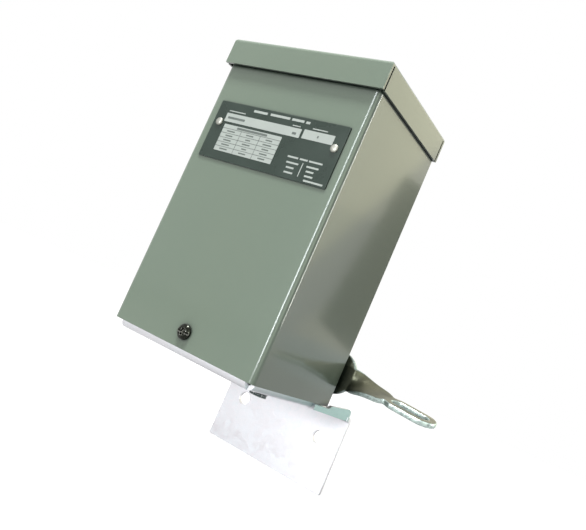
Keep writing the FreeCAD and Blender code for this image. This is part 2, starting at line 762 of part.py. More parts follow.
def drive_arm():
    """Arm clamped on the shaft; its pin moves the rocker's fork."""
    back = arm_front + arm_thickness
    hub = pin_y(arm_hub_dia / 2, 0, 0, arm_front, back)
    half = arm_width / 2
    web = box(-arm_length, 0, arm_front, back, -half, half)
    tip = pin_y(half, -arm_length, 0, arm_front, back)
    arm = fuse(hub, web, tip)
    arm = arm.cut([pin_y(shaft_dia / 2, 0, 0, arm_front - 1, back + 1),
                   pin_y(drive_pin_dia / 2 - 0.9, -arm_length, 0, arm_front - 1, back + 1),
                   roll_pin_core()])
    return place_on_shaft(arm)


def roll_pin_core():
    """Space that the roll pin fills, across the drive arm's hub at mid travel."""
    middle = arm_front + arm_thickness / 2
    reach = arm_hub_dia / 2 - 0.2
    return cylinder(roll_pin_dia / 2, Vector(0, middle, -reach), Vector(0, middle, reach))


def place_on_shaft(shape):
    """Turn a piece drawn for mid travel to the float-down position, on the shaft."""
    placed = shape.copy()
    placed.rotate(Vector(0, 0, 0), Vector(0, 1, 0), half_travel)
    placed.translate(Vector(pivot_x, 0, pivot_z))
    return placed


def roll_pin():
    """Slit spring pin that locks the drive arm to the shaft."""
    middle = arm_front + arm_thickness / 2
    reach = arm_hub_dia / 2
    bore = cylinder(roll_pin_dia / 2 - 0.5, Vector(0, middle, -reach), Vector(0, middle, reach))
    slit = box(0, roll_pin_dia, middle - 0.25, middle + 0.25, -reach, reach)
    return place_on_shaft(roll_pin_core().cut([bore, slit]))


def drive_pin():
    """Shouldered pin riveted in the drive arm."""
    back = arm_front + arm_thickness
    body = pin_y(drive_pin_dia / 2, -arm_length, 0, back, rocker_back + 0.8)
    spigot = pin_y(drive_pin_dia / 2 - 0.9, -arm_length, 0, arm_front - 0.7, back + 1)
    return place_on_shaft(body.fuse(spigot).removeSplitter())


def place_on_rocker_pin(shape):
    """Turn a piece drawn for mid travel to the float-down position, on the rocker's pin."""
    placed = shape.copy()
    placed.rotate(Vector(0, 0, 0), Vector(0, 1, 0), -rocker_swing)
    placed.translate(Vector(rocker_x, 0, pivot_z))
    return placed


def pole_heights():
    """Heights of the contact bridges above the rocker's pin at mid travel."""
    return [first_pole, first_pole + pole_pitch]


def rocker_side(height):
    """Half width of the rocker's upright arm, which tapers from the fork to its top."""
    half = rocker_arm_width / 2
    top = pole_heights()[-1] + rocker_head
    share = (height - half - 1) / (top - half - 1)
    return half + 2 - share * (2 + half * 0.3)


def contact_rocker():
    """Moulded bell crank: fork towards the shaft, upright arm with posts for the bridges."""
    half = rocker_arm_width / 2
    top = pole_heights()[-1] + rocker_head
    tip_half = rocker_side(top)
    fork_end = fork_length + drive_pin_dia
    profile = prism_y([(-half, -half, half * 0.9), (fork_end, -half - 1, 2.0),
                       (fork_end, half + 1, 2.0), (rocker_side(half + 1), half + 1, 6.0),
                       (tip_half, top, 2.5), (-tip_half, top, 2.5)],
                      rocker_front, rocker_back)
    hub = pin_y(rocker_hub_dia / 2, 0, 0, rocker_front, rocker_back)
    posts = [cylinder(rocker_post_dia / 2, Vector(0, rocker_mid, z),
                      Vector(rocker_post_end, rocker_mid, z))
             for z in pole_heights()]
    body = fuse(profile, hub, *posts)
    slot_half = drive_pin_dia / 2 + fork_clearance
    slot = box(fork_length - drive_pin_dia / 2 - 1.2, fork_end + 1, rocker_front - 1,
               rocker_back + 1, -slot_half, slot_half)
    bore = pin_y(rocker_pin_dia / 2 + running_gap, 0, 0, rocker_front - 1, rocker_back + 1)
    return place_on_rocker_pin(body.cut([slot, bore]))


def rocker_pin():
    """Headed pin on which the rocker turns, across the frame."""
    body = pin_y(rocker_pin_dia / 2, rocker_x, pivot_z, frame_front - 0.5, frame_back - 0.5)
    head = pin_y(rocker_pin_dia * 0.8, rocker_x, pivot_z, frame_front - 2.0, frame_front)
    return body.fuse(head).removeSplitter()


def rocker_spacers():
    """Tubes on the rocker's pin that hold the rocker midway in the frame."""
    pieces = []
    spans = ((frame_front + frame_sheet, rocker_front - slip), (rocker_back + slip, frame_inside))
    for y0, y1 in spans:
        tube = pin_y(rocker_pin_dia / 2 + 1.5, rocker_x, pivot_z, y0, y1)
        pieces.append(tube.cut(pin_y(rocker_pin_dia / 2, rocker_x, pivot_z, y0 - 1, y1 + 1)))
    return Part.makeCompound(pieces)


def contact_bridges():
    """Two brass bridges on the rocker's posts, each with two round contacts."""
    pieces = []
    for z in pole_heights():
        bar = box(bridge_face - bridge_sheet, bridge_face, rocker_mid - bridge_length / 2,
                  rocker_mid + bridge_length / 2, z - bridge_height / 2, z + bridge_height / 2)
        hole = cylinder(rocker_post_dia / 2, Vector(0, rocker_mid, z),
                        Vector(bridge_face + 5, rocker_mid, z))
        pieces.append(place_on_rocker_pin(bar.cut(hole)))
    return Part.makeCompound(pieces)


def contact_springs():
    """Springs that press the bridges towards the fixed contacts."""
    pieces = []
    coil_radius = rocker_post_dia / 2 + 0.9
    for z in pole_heights():
        seat = rocker_side(z - coil_radius) + 0.1
        coil = spring(coil_radius, 0.35, Vector(seat, rocker_mid, z), Vector(1, 0, 0),
                      bridge_face - bridge_sheet - seat, 2)
        pieces.append(place_on_rocker_pin(coil))
    return Part.makeCompound(pieces)


def return_spring():
    """Spring between the frame's floor and the rocker's fork arm."""
    x = rocker_x + fork_length * 0.45
    lift = (x - rocker_x) * math.tan(math.radians(rocker_swing))
    floor = frame_floor + frame_sheet
    under_arm = pivot_z + lift - rocker_arm_width / 2 - 1.6
    return spring(3.2, 0.45, Vector(x, rocker_mid, floor), Vector(0, 0, 1), under_arm - floor, 3)


# ---------------------------------------------------------------- contact block
def strip_heights():
    """Heights of the four fixed-contact strips, lower pole first."""
    heights = []
    for pole in pole_heights():
        middle = pivot_z + pole
        heights.append((middle - strip_step / 2, "near"))
        heights.append((middle + strip_step / 2, "far"))
    return heights


def contact_block():
    """Moulded block with barriers between the terminals."""
    block = prism_z([(block_left, block_front, 1.0), (block_right, block_front, 1.0),
                     (block_right, frame_inside, 0), (block_left, frame_inside, 0)],
                    block_low, block_high)
    ribs = []
    for level in (block_low + rib_sheet, pivot_z + first_pole, block_screw_z,
                  pivot_z + first_pole + pole_pitch, block_high - rib_sheet):
        ribs.append(box(block_left, block_right, block_front - rib_depth,
                        block_front + 2, level - rib_sheet / 2, level + rib_sheet / 2))
    holes = [pin_y(block_screw_dia / 2, x, block_screw_z, block_front - 1, frame_inside + 1)
             for x in block_screw_x]
    holes += [pin_y(block_screw_dia, x, block_screw_z, block_front - rib_depth - 1,
                    block_front + block_screw_sink)
              for x in block_screw_x]
    holes += [pin_y(terminal_shank_dia / 2, x, z, block_front - 1, block_front + terminal_hole_depth)
              for x, z in terminal_places()]
    return fuse(block, *ribs).cut(holes)


def terminal_places():
    """Terminal screw positions on the front of the block."""
    return [(terminal_near if side == "near" else terminal_far, z) for z, side in strip_heights()]


def fixed_contacts():
    """Four folded brass strips, each with a round contact facing its bridge."""
    pieces = []
    swing = math.radians(rocker_swing)
    for index, (z, side) in enumerate(strip_heights()):
        pole = pole_heights()[index // 2]
        reach = (bridge_face * math.cos(swing)
                 + (pole + bridge_height / 2) * math.sin(swing))
        face = rocker_x + reach + contact_gap
        pad_y = rocker_mid - bridge_length / 2 + 4 if side == "near" else \
            rocker_mid + bridge_length / 2 - 4
        end_x = (terminal_near if side == "near" else terminal_far) + terminal_head_dia / 2
        fold = prism_z([(block_left - strip_sheet, pad_y + strip_width / 2, 0),
                        (block_left - strip_sheet, block_front - strip_sheet, strip_sheet),
                        (end_x, block_front - strip_sheet, 0), (end_x, block_front, 0),
                        (block_left, block_front, 0), (block_left, pad_y + strip_width / 2, 0)],
                       z - strip_width / 2, z + strip_width / 2)
        pad = cylinder(pad_dia / 2, Vector(face, pad_y, z), Vector(block_left - 0.5, pad_y, z))
        hole_x = terminal_near if side == "near" else terminal_far
        hole = pin_y(terminal_shank_dia / 2, hole_x, z, block_front - 5, block_front + 1)
        pieces.append(fuse(fold, pad).cut(hole))
    return Part.makeCompound(pieces)


def slotted_screw(x, z, face, head_radius, head_height, shank_radius, end):
    """Slotted pan-head screw along Y, head towards the front."""
    head = pan_head(head_radius, head_height, x, z, face, -1)
    shank = pin_y(shank_radius, x, z, face - head_height * 0.3, end)
    slot = box(x - head_radius - 1, x + head_radius + 1, face - head_height - 1,
               face - head_height * 0.5, z - 0.5, z + 0.5)
    return head.fuse(shank).removeSplitter().cut(slot)


def terminal_screws():
    """Four terminal screws."""
    face = block_front - strip_sheet
    return Part.makeCompound([
        slotted_screw(x, z, face, terminal_head_dia / 2 - 0.6, 2.2, terminal_shank_dia / 2,
                      block_front + terminal_screw_depth)
        for x, z in terminal_places()])


def block_screws():
    """Two screws that hold the contact block to the frame."""
    return Part.makeCompound([
        slotted_screw(x, block_screw_z, block_front + block_screw_sink, block_screw_dia - 0.3, 2.4,
                      block_screw_dia / 2, frame_back - 0.3)
        for x in block_screw_x])


# ---------------------------------------------------------------- writing
NODES = {
    "cover": cover, "top_hood": hood, "hood_rivets": hood_rivets, "back_plate": back_plate,
    "base_pan": base_pan, "nameplate": nameplate, "nameplate_rivets": nameplate_rivets,
    "cover_screw": cover_screw, "ground_screw": ground_screw, "ground_nut": ground_nut,
    "pivot_shaft": pivot_shaft, "shaft_spacer": shaft_spacer, "lever_arm": lever_arm,
    "lever_washer": lever_washer, "lever_nut": lever_nut, "rear_bush": rear_bush,
    "front_bush": front_bush, "mechanism_frame": mechanism_frame, "frame_rivets": frame_rivets,
    "stop_pins": stop_pins, "drive_arm": drive_arm, "roll_pin": roll_pin,
    "drive_pin": drive_pin, "contact_rocker": contact_rocker, "rocker_pin": rocker_pin,
    "rocker_spacers": rocker_spacers, "contact_bridges": contact_bridges,
    "contact_springs": contact_springs, "return_spring": return_spring,
    "contact_block": contact_block, "fixed_contacts": fixed_contacts,
    "terminal_screws": terminal_screws, "block_screws": block_screws,
}


def main():
    """Write every piece to parts/NODE.step."""
    os.makedirs("parts", exist_ok=True)
    for node, build in NODES.items():
        save(node, build())


main()
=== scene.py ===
import logging
import math
from contextlib import contextmanager
from dataclasses import dataclass
from enum import Enum
from typing import Callable, Iterator, Optional, Sequence, Union

import bmesh
import bpy
from mathutils import Matrix, Quaternion, Vector


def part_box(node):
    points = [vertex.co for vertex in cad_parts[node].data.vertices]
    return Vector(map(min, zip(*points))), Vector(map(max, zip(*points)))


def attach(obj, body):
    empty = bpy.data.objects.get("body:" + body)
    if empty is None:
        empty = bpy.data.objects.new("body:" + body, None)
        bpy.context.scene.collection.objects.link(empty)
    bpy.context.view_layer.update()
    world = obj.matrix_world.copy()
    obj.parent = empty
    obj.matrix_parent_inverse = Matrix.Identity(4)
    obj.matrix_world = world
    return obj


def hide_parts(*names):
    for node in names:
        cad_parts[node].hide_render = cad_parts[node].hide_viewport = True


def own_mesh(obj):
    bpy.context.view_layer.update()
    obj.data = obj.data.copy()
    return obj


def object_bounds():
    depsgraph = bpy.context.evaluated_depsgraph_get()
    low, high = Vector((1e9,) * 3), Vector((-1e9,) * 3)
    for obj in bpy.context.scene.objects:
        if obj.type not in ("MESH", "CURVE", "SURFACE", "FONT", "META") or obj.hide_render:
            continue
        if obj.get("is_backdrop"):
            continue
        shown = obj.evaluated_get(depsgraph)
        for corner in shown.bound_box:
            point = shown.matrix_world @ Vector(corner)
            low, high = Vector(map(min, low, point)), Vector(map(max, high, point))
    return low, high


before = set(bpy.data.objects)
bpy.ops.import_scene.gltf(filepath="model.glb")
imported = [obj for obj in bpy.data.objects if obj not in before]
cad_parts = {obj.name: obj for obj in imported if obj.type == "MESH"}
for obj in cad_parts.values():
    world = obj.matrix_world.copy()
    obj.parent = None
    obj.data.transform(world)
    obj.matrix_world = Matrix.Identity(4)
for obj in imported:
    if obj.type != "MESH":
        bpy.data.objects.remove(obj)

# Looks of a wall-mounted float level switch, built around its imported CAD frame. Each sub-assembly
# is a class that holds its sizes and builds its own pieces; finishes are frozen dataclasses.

log = logging.getLogger("float_switch")

Colour = tuple[float, float, float, float]
Point = tuple[float, float, float]

MM = 0.001
QUARTER_TURN = math.pi / 2
SAME_POINT = 1e-6  # metres
NEARLY_ROUND = 0.999  # share of the full radius, which keeps a round end's two arcs apart
WHITE: Colour = (1, 1, 1, 1)


# ---------------------------------------------------------------- node trees
class Formula:
    """A number that nodes work out, written with ordinary operators."""

    def __init__(self, tree: bpy.types.NodeTree, socket: bpy.types.NodeSocket) -> None:
        """Wrap an output socket.

        Args:
            tree: node tree that the socket belongs to.
            socket: output that carries the number.
        """
        self.tree = tree
        self.socket = socket

    def math(self, operation: str, *others: Union["Formula", float]) -> "Formula":
        """Place a math node after this number.

        Args:
            operation: Blender's name of the operation.
            others: the further operands.

        Returns:
            The result as a formula.
        """
        node = self.tree.nodes.new("ShaderNodeMath")
        node.operation = operation
        self.tree.links.new(self.socket, node.inputs[0])
        for index, other in enumerate(others, 1):
            if isinstance(other, Formula):
                self.tree.links.new(other.socket, node.inputs[index])
            else:
                node.inputs[index].default_value = other
        return Formula(self.tree, node.outputs[0])

    def __add__(self, other: Union["Formula", float]) -> "Formula":
        """Sum."""
        return self.math("ADD", other)

    def __sub__(self, other: Union["Formula", float]) -> "Formula":
        """Difference."""
        return self.math("SUBTRACT", other)

    def __mul__(self, other: Union["Formula", float]) -> "Formula":
        """Product."""
        return self.math("MULTIPLY", other)

    def __truediv__(self, other: Union["Formula", float]) -> "Formula":
        """Quotient."""
        return self.math("DIVIDE", other)

    def flipped(self) -> "Formula":
        """One minus this number."""
        return self.math("MULTIPLY", -1.0) + 1.0

    def clamped(self) -> "Formula":
        """This number, held between 0 and 1."""
        return self.math("MAXIMUM", 0.0).math("MINIMUM", 1.0)

    def swung(self, swing: Union["Formula", float]) -> "Formula":
        """Distance of this number from one half, stretched."""
        return (self - 0.5) * swing

    def mixed(self, other: "Formula", share: float) -> "Formula":
        """Mean of this number and another, in which the other has the given share."""
        return self * (1 - share) + other * share


Feed = Union[Formula, bpy.types.NodeSocket, float, int, bool, tuple, Vector]


class Sheet:
    """A node tree with short calls that place and join its nodes."""

    # A mix node has a set of sockets for each kind of data. These are the colour's.
    AMOUNT, FIRST, SECOND, MIXED = 0, 6, 7, 2

    def __init__(self, tree: bpy.types.NodeTree) -> None:
        """Work on one tree.

        Args:
            tree: shader or geometry node tree.
        """
        self.tree = tree

    def feed(self, socket: bpy.types.NodeSocket, value: Feed) -> None:
        """Link a socket to an output, or set its constant.

        Args:
            socket: input that receives the value.
            value: formula, output socket or plain constant.
        """
        if isinstance(value, Formula):
            self.tree.links.new(value.socket, socket)
        elif isinstance(value, bpy.types.NodeSocket):
            self.tree.links.new(value, socket)
        else:
            socket.default_value = value

    def node(self, kind: str, inputs: Optional[dict[Union[int, str], Feed]] = None,
             **settings: object) -> bpy.types.Node:
        """Place a node.

        Args:
            kind: Blender's node type name.
            inputs: values of its sockets, by name or index.
            settings: the node's own properties.

        Returns:
            The placed node.
        """
        node = self.tree.nodes.new(kind)
        for name, value in settings.items():
            setattr(node, name, value)
        for key, value in (inputs or {}).items():
            self.feed(node.inputs[key], value)
        return node

    def number(self, node: bpy.types.Node, output: Union[int, str] = 0) -> Formula:
        """One output of a node as a formula."""
        return Formula(self.tree, node.outputs[output])

    def blend(self, amount: Feed, first: Feed, second: Feed) -> bpy.types.NodeSocket:
        """Mix two colours.

        Args:
            amount: share of the second colour.
            first: colour where the amount is 0.
            second: colour where it is 1.

        Returns:
            The mixed colour's socket.
        """
        node = self.node("ShaderNodeMix", {self.AMOUNT: amount, self.FIRST: first,
                                           self.SECOND: second}, data_type="RGBA")
        return node.outputs[self.MIXED]

    def place(self) -> bpy.types.NodeSocket:
        """Where a point lies on its object."""
        return self.node("ShaderNodeTexCoord").outputs["Object"]

    def axis(self, vector: bpy.types.NodeSocket, name: str) -> Formula:
        """One coordinate of a vector."""
        return self.number(self.node("ShaderNodeSeparateXYZ", {0: vector}), name)

    def noise(self, place: Feed, scale: Feed, detail: float, roughness: float = 0.5) -> Formula:
        """Place a noise texture.

        Args:
            place: point where it is read.
            scale: how fine the noise is.
            detail: number of finer layers on top.
            roughness: weight of the finer layers.

        Returns:
            The noise's value.
        """
        return self.number(self.node("ShaderNodeTexNoise", {
            "Vector": place, "Scale": scale, "Detail": detail, "Roughness": roughness}))

    def cells(self, place: Feed, scale: Feed) -> tuple[Formula, Formula]:
        """Divide a surface into crystals or specks.

        Args:
            place: point where the pattern is read.
            scale: how fine the cells are.

        Returns:
            A random number for each cell, and the distance from its middle.
        """
        node = self.node("ShaderNodeTexVoronoi", {"Vector": place, "Scale": scale})
        tone = self.node("ShaderNodeSeparateColor", {0: node.outputs["Color"]})
        return self.number(tone), self.number(node, "Distance")


GroupBuilder = Callable[[Sheet, dict[str, Formula]], dict[str, Formula]]


def shader_group(name: str, inputs: dict[str, float],
                 build: GroupBuilder) -> bpy.types.NodeTree:
    """Return a shader node group, and build it on first use.

    Args:
        name: the group's name.
        inputs: its number inputs with their defaults.
        build: makes the nodes from the inputs and returns the named outputs.

    Returns:
        The group's node tree.
    """
    found = bpy.data.node_groups.get(name)
    if found is not None:
        return found
    tree = bpy.data.node_groups.new(name, "ShaderNodeTree")
    sheet = Sheet(tree)
    for label, default in inputs.items():
        socket = tree.interface.new_socket(label, in_out="INPUT", socket_type="NodeSocketFloat")
        socket.default_value = default
    entry = sheet.node("NodeGroupInput")
    results = build(sheet, {label: sheet.number(entry, label) for label in inputs})
    leave = sheet.node("NodeGroupOutput")
    for label, result in results.items():
        tree.interface.new_socket(label, in_out="OUTPUT", socket_type="NodeSocketFloat")
        tree.links.new(result.socket, leave.inputs[label])
    return tree


def tone_cloud() -> bpy.types.NodeTree:
    """Slow, soft change of tone over a surface, centred on one half.

    Returns:
        The effect's node group.
    """

    def build(sheet: Sheet, given: dict[str, Formula]) -> dict[str, Formula]:
        """Noise on object coordinates, stretched by the contrast.

        Args:
            sheet: the group's nodes.
            given: its inputs.

        Returns:
            Its outputs.
        """
        shift = sheet.node("ShaderNodeCombineXYZ", {0: given["Shift"], 1: given["Shift"]})
        moved = sheet.node("ShaderNodeVectorMath", {0: sheet.place(), 1: shift.outputs[0]},
                           operation="ADD")
        noise = sheet.noise(moved.outputs[0], given["Scale"], detail=3.0)
        return {"Value": (noise.swung(given["Contrast"]) + 0.5).clamped()}
    return shader_group("tone_cloud", {"Scale": 20.0, "Contrast": 1.5, "Shift": 0.0}, build)


def rubbed_edge() -> bpy.types.NodeTree:
    """Mask of the edges that handling has rubbed, broken up by noise.

    Returns:
        The effect's node group.
    """
    patch_contrast = 6.0

    def build(sheet: Sheet, given: dict[str, Formula]) -> dict[str, Formula]:
        """Compare the rounded normal with the true one, then thin it out.

        Args:
            sheet: the group's nodes.
            given: its inputs.

        Returns:
            Its outputs.
        """
        rounded = sheet.node("ShaderNodeBevel", {"Radius": given["Radius"]}, samples=6)
        true = sheet.node("ShaderNodeNewGeometry")
        dot = sheet.node("ShaderNodeVectorMath", {0: rounded.outputs[0],
                                                  1: true.outputs["Normal"]},
                         operation="DOT_PRODUCT")
        bend = sheet.number(dot, "Value").flipped() * given["Reach"]
        noise = sheet.noise(sheet.place(), given["Patch Scale"], detail=6.0, roughness=0.65)
        patch = (noise - given["Threshold"]) * patch_contrast
        return {"Mask": (bend * patch.clamped()).clamped()}
    return shader_group("rubbed_edge", {"Radius": 0.0006, "Reach": 8.0, "Patch Scale": 160.0,
                                        "Threshold": 0.5}, build)


def crevice_shade() -> bpy.types.NodeTree:
    """Mask of painted shade beside lips, seams, fixings and under overhangs.

    Returns:
        The effect's node group.
    """

    def build(sheet: Sheet, given: dict[str, Formula]) -> dict[str, Formula]:
        """Turn the share of nearby cover into a mask.

        Args:
            sheet: the group's nodes.
            given: its inputs.

        Returns:
            Its outputs.
        """
        nearby = sheet.node("ShaderNodeAmbientOcclusion", {"Distance": given["Distance"]},
                            samples=12)
        covered = sheet.number(nearby, "AO").flipped() * given["Reach"]
        return {"Mask": covered.clamped()}
    return shader_group("crevice_shade", {"Distance": 0.013, "Reach": 1.9}, build)


def orange_peel() -> bpy.types.NodeTree:
    """Height of sprayed enamel: fine peel over a slow wave of the sheet.

    Returns:
        The effect's node group.
    """

    def build(sheet: Sheet, given: dict[str, Formula]) -> dict[str, Formula]:
        """Add a fine noise and a slow noise.

        Args:
            sheet: the group's nodes.
            given: its inputs.

        Returns:
            Its outputs.
        """
        place = sheet.place()
        fine = sheet.noise(place, given["Peel Scale"], detail=2.0)
        slow = sheet.noise(place, given["Wave Scale"], detail=1.0)
        return {"Height": fine * given["Peel"] + slow * given["Wave"]}
    return shader_group("orange_peel", {"Peel Scale": 900.0, "Peel": 0.05, "Wave Scale": 16.0,
                                        "Wave": 1.0}, build)


def zinc_spangle() -> bpy.types.NodeTree:
    """Tone of hot-dip zinc crystals, a flat value for each crystal with soft streaks over it.

    Returns:
        The effect's node group.
    """
    small_scale, streak_scale = 2.7, 5.0
    large_share, small_share, streak_share = 0.5, 0.3, 0.2

    def build(sheet: Sheet, given: dict[str, Formula]) -> dict[str, Formula]:
        """Mix two sizes of cells with a noise.

        Args:
            sheet: the group's nodes.
            given: its inputs.

        Returns:
            Its outputs.
        """
        place = sheet.place()
        large = sheet.cells(place, given["Scale"])[0]
        small = sheet.cells(place, given["Scale"] * small_scale)[0]
        streak = sheet.noise(place, given["Scale"] * streak_scale, detail=4.0)
        value = large * large_share + small * small_share + streak * streak_share
        return {"Value": (value.swung(given["Contrast"]) + 0.5).clamped()}
    return shader_group("zinc_spangle", {"Scale": 260.0, "Contrast": 1.0}, build)


def drawn_grain() -> bpy.types.NodeTree:
    """Fine lines along one axis, as rolling, drawing or turning leaves them.

    Returns:
        The effect's node group.
    """

    def build(sheet: Sheet, given: dict[str, Formula]) -> dict[str, Formula]:
        """Squeeze a noise along X, Y and Z by the given amounts.

        Args:
            sheet: the group's nodes.
            given: its inputs.

        Returns:
            Its outputs.
        """
        squeeze = sheet.node("ShaderNodeCombineXYZ", {0: given["Along X"], 1: given["Along Y"],
                                                      2: given["Along Z"]})
        moved = sheet.node("ShaderNodeVectorMath", {0: sheet.place(), 1: squeeze.outputs[0]},
                           operation="MULTIPLY")
        return {"Value": sheet.noise(moved.outputs[0], scale=1.0, detail=4.0, roughness=0.6)}
    return shader_group("drawn_grain", {"Along X": 60.0, "Along Y": 1200.0,
                                        "Along Z": 1200.0}, build)


def paint_specks() -> bpy.types.NodeTree:
    """Mask of small stray specks and chips.

    Returns:
        The effect's node group.
    """
    rim_contrast, choice_contrast = 18.0, 60.0

    def build(sheet: Sheet, given: dict[str, Formula]) -> dict[str, Formula]:
        """Keep the middles of a few cells.

        Args:
            sheet: the group's nodes.
            given: its inputs.

        Returns:
            Its outputs.
        """
        tone, distance = sheet.cells(sheet.place(), given["Scale"])
        near = (given["Size"] - distance) * rim_contrast
        rare = (tone - given["Rarity"]) * choice_contrast
        return {"Mask": near.clamped() * rare.clamped()}
    return shader_group("paint_specks", {"Scale": 90.0, "Size": 0.12, "Rarity": 0.93}, build)


def settled_dust() -> bpy.types.NodeTree:
    """Mask of dust on faces that look up, thicker in patches.

    Returns:
        The effect's node group.
    """

    def build(sheet: Sheet, given: dict[str, Formula]) -> dict[str, Formula]:
        """Upward share of the normal times a noise.

        Args:
            sheet: the group's nodes.
            given: its inputs.

        Returns:
            Its outputs.
        """
        up = sheet.axis(sheet.node("ShaderNodeNewGeometry").outputs["Normal"], "Z").clamped()
        patches = sheet.noise(sheet.place(), scale=70.0, detail=8.0)
        return {"Mask": (up * patches * given["Amount"]).clamped()}
    return shader_group("settled_dust", {"Amount": 0.3}, build)


def painted_side_reflection() -> bpy.types.NodeTree:
    """Mask of the faces that look to the right side, where a painted reflection tints the zinc.

    Returns:
        The effect's node group.
    """
    least_turn, turn_contrast = 0.5, 4.0
    fade_slope, fade_level = 9.0, 1.25
    wall_gap, wall_contrast = 0.003, -400.0

    def build(sheet: Sheet, given: dict[str, Formula]) -> dict[str, Formula]:
        """Sideward share of the normal, fuller towards the back but not on the wall's face.

        Args:
            sheet: the group's nodes.
            given: its inputs.

        Returns:
            Its outputs.
        """
        aside = sheet.axis(sheet.node("ShaderNodeNewGeometry").outputs["Normal"], "X")
        depth = sheet.axis(sheet.place(), "Y")
        back = ((depth * fade_slope + fade_level).clamped()
                * ((depth + wall_gap) * wall_contrast).clamped())
        turned = ((aside - least_turn) * turn_contrast).clamped()
        return {"Mask": turned * back * given["Amount"]}
    return shader_group("painted_side_reflection", {"Amount": 0.9}, build)


# ---------------------------------------------------------------- finishes
DUST: Colour = (0.62, 0.60, 0.54, 1.0)
# Painted shade in the enamel's creases and under the hood's edge.
ENAMEL_CREVICE_SHADE: Colour = (0.012, 0.020, 0.016, 1.0)
# Painted shade on the lever by its hub and the box.
PLATE_CREVICE_SHADE: Colour = (0.006, 0.014, 0.008, 1.0)
ZINC_FILM: Colour = (0.45, 0.52, 0.60, 1.0)
ZINC_RUBBED: Colour = (0.50, 0.52, 0.55, 1.0)
# Teal tint that paints a reflection on right-facing zinc.
ZINC_REFLECTION_TINT: Colour = (0.24, 0.37, 0.36, 1.0)
PLASTIC_RUBBED: Colour = (0.45, 0.46, 0.44, 1.0)


class FinishSheet(Sheet):
    """The node tree of one material, with its Principled shader ready."""

    def __init__(self, name: str) -> None:
        """Start a material.

        Args:
            name: the material's name.
        """
        self.material = bpy.data.materials.new(name)
        self.material.use_nodes = True
        super().__init__(self.material.node_tree)
        self.tree.nodes.clear()
        self.shader = self.node("ShaderNodeBsdfPrincipled")
        output = self.node("ShaderNodeOutputMaterial")
        self.tree.links.new(self.shader.outputs[0], output.inputs["Surface"])

    def effect(self, group: bpy.types.NodeTree, output: str, **values: float) -> Formula:
        """Place a shared effect.

        Args:
            group: the effect's node group.
            output: name of the output that is wanted.
            values: the group's inputs, with spaces written as underscores.

        Returns:
            That output as a formula.
        """
        node = self.node("ShaderNodeGroup", node_tree=group)
        for label, value in values.items():
            node.inputs[label.replace("_", " ")].default_value = value
        return self.number(node, output)

    def give(self, values: dict[str, Feed]) -> None:
        """Link or set inputs of the shader, by name."""
        for label, value in values.items():
            self.feed(self.shader.inputs[label], value)

    def bump(self, height: Formula, strength: float, distance: float) -> None:
        """Turn a height into the shader's normal.

        Args:
            height: the relief, from 0 to 1.
            strength: how much of it shows.
            distance: height of the full relief in metres.
        """
        node = self.node("ShaderNodeBump", {"Strength": strength, "Distance": distance,
                                            "Height": height})
        self.give({"Normal": node.outputs[0]})

    def gloss(self, metallic: float, coat: float = 0.0, coat_roughness: float = 0.1,
              level: float = 0.5) -> None:
        """Set the shader's own constants.

        Args:
            metallic: share of bare metal in the surface.
            coat: strength of the clear coat.
            coat_roughness: roughness of that coat.
            level: strength of the shine under it.
        """
        self.give({"Metallic": metallic, "Coat Weight": coat, "Coat Roughness": coat_roughness,
                   "Specular IOR Level": level})


@dataclass(frozen=True)
class EnamelFinish:
    """Sprayed semi-gloss enamel on sheet steel."""

    name: str
    colour: Colour
    cool: Colour
    bare: Colour
    roughness: float
    coat: float
    wear: float
    dust: float

    def make(self) -> bpy.types.Material:
        """Build the material.

        Returns:
            The enamel material.
        """
        speck_strength, dust_roughness, coat_share = 0.7, 0.3, 0.3
        sheet = FinishSheet(self.name)
        cloud = sheet.effect(tone_cloud(), "Value", Scale=14.0, Contrast=1.8)
        mottle = sheet.effect(tone_cloud(), "Value", Scale=420.0, Contrast=1.2, Shift=3.0)
        body = sheet.blend(cloud.mixed(mottle, share=0.25), self.colour, self.cool)
        worn = sheet.effect(rubbed_edge(), "Mask", Threshold=self.wear)
        specks = sheet.effect(paint_specks(), "Mask", Rarity=0.99)
        marked = sheet.blend(worn.math("MAXIMUM", specks * speck_strength), body, self.bare)
        dust = sheet.effect(settled_dust(), "Mask", Amount=self.dust)
        dusty = sheet.blend(dust, marked, DUST)
        # Painted shade: near black beside lips and seams and under the hood's edge.
        shaded = sheet.blend(sheet.effect(crevice_shade(), "Mask"), dusty, ENAMEL_CREVICE_SHADE)
        sheet.give({"Base Color": shaded,
                    "Roughness": mottle.swung(0.06) + self.roughness + dust * dust_roughness})
        sheet.gloss(metallic=0.0, coat=self.coat, coat_roughness=self.roughness * coat_share,
                    level=0.3)
        sheet.bump(sheet.effect(orange_peel(), "Height"), strength=0.35, distance=0.0012)
        return sheet.material


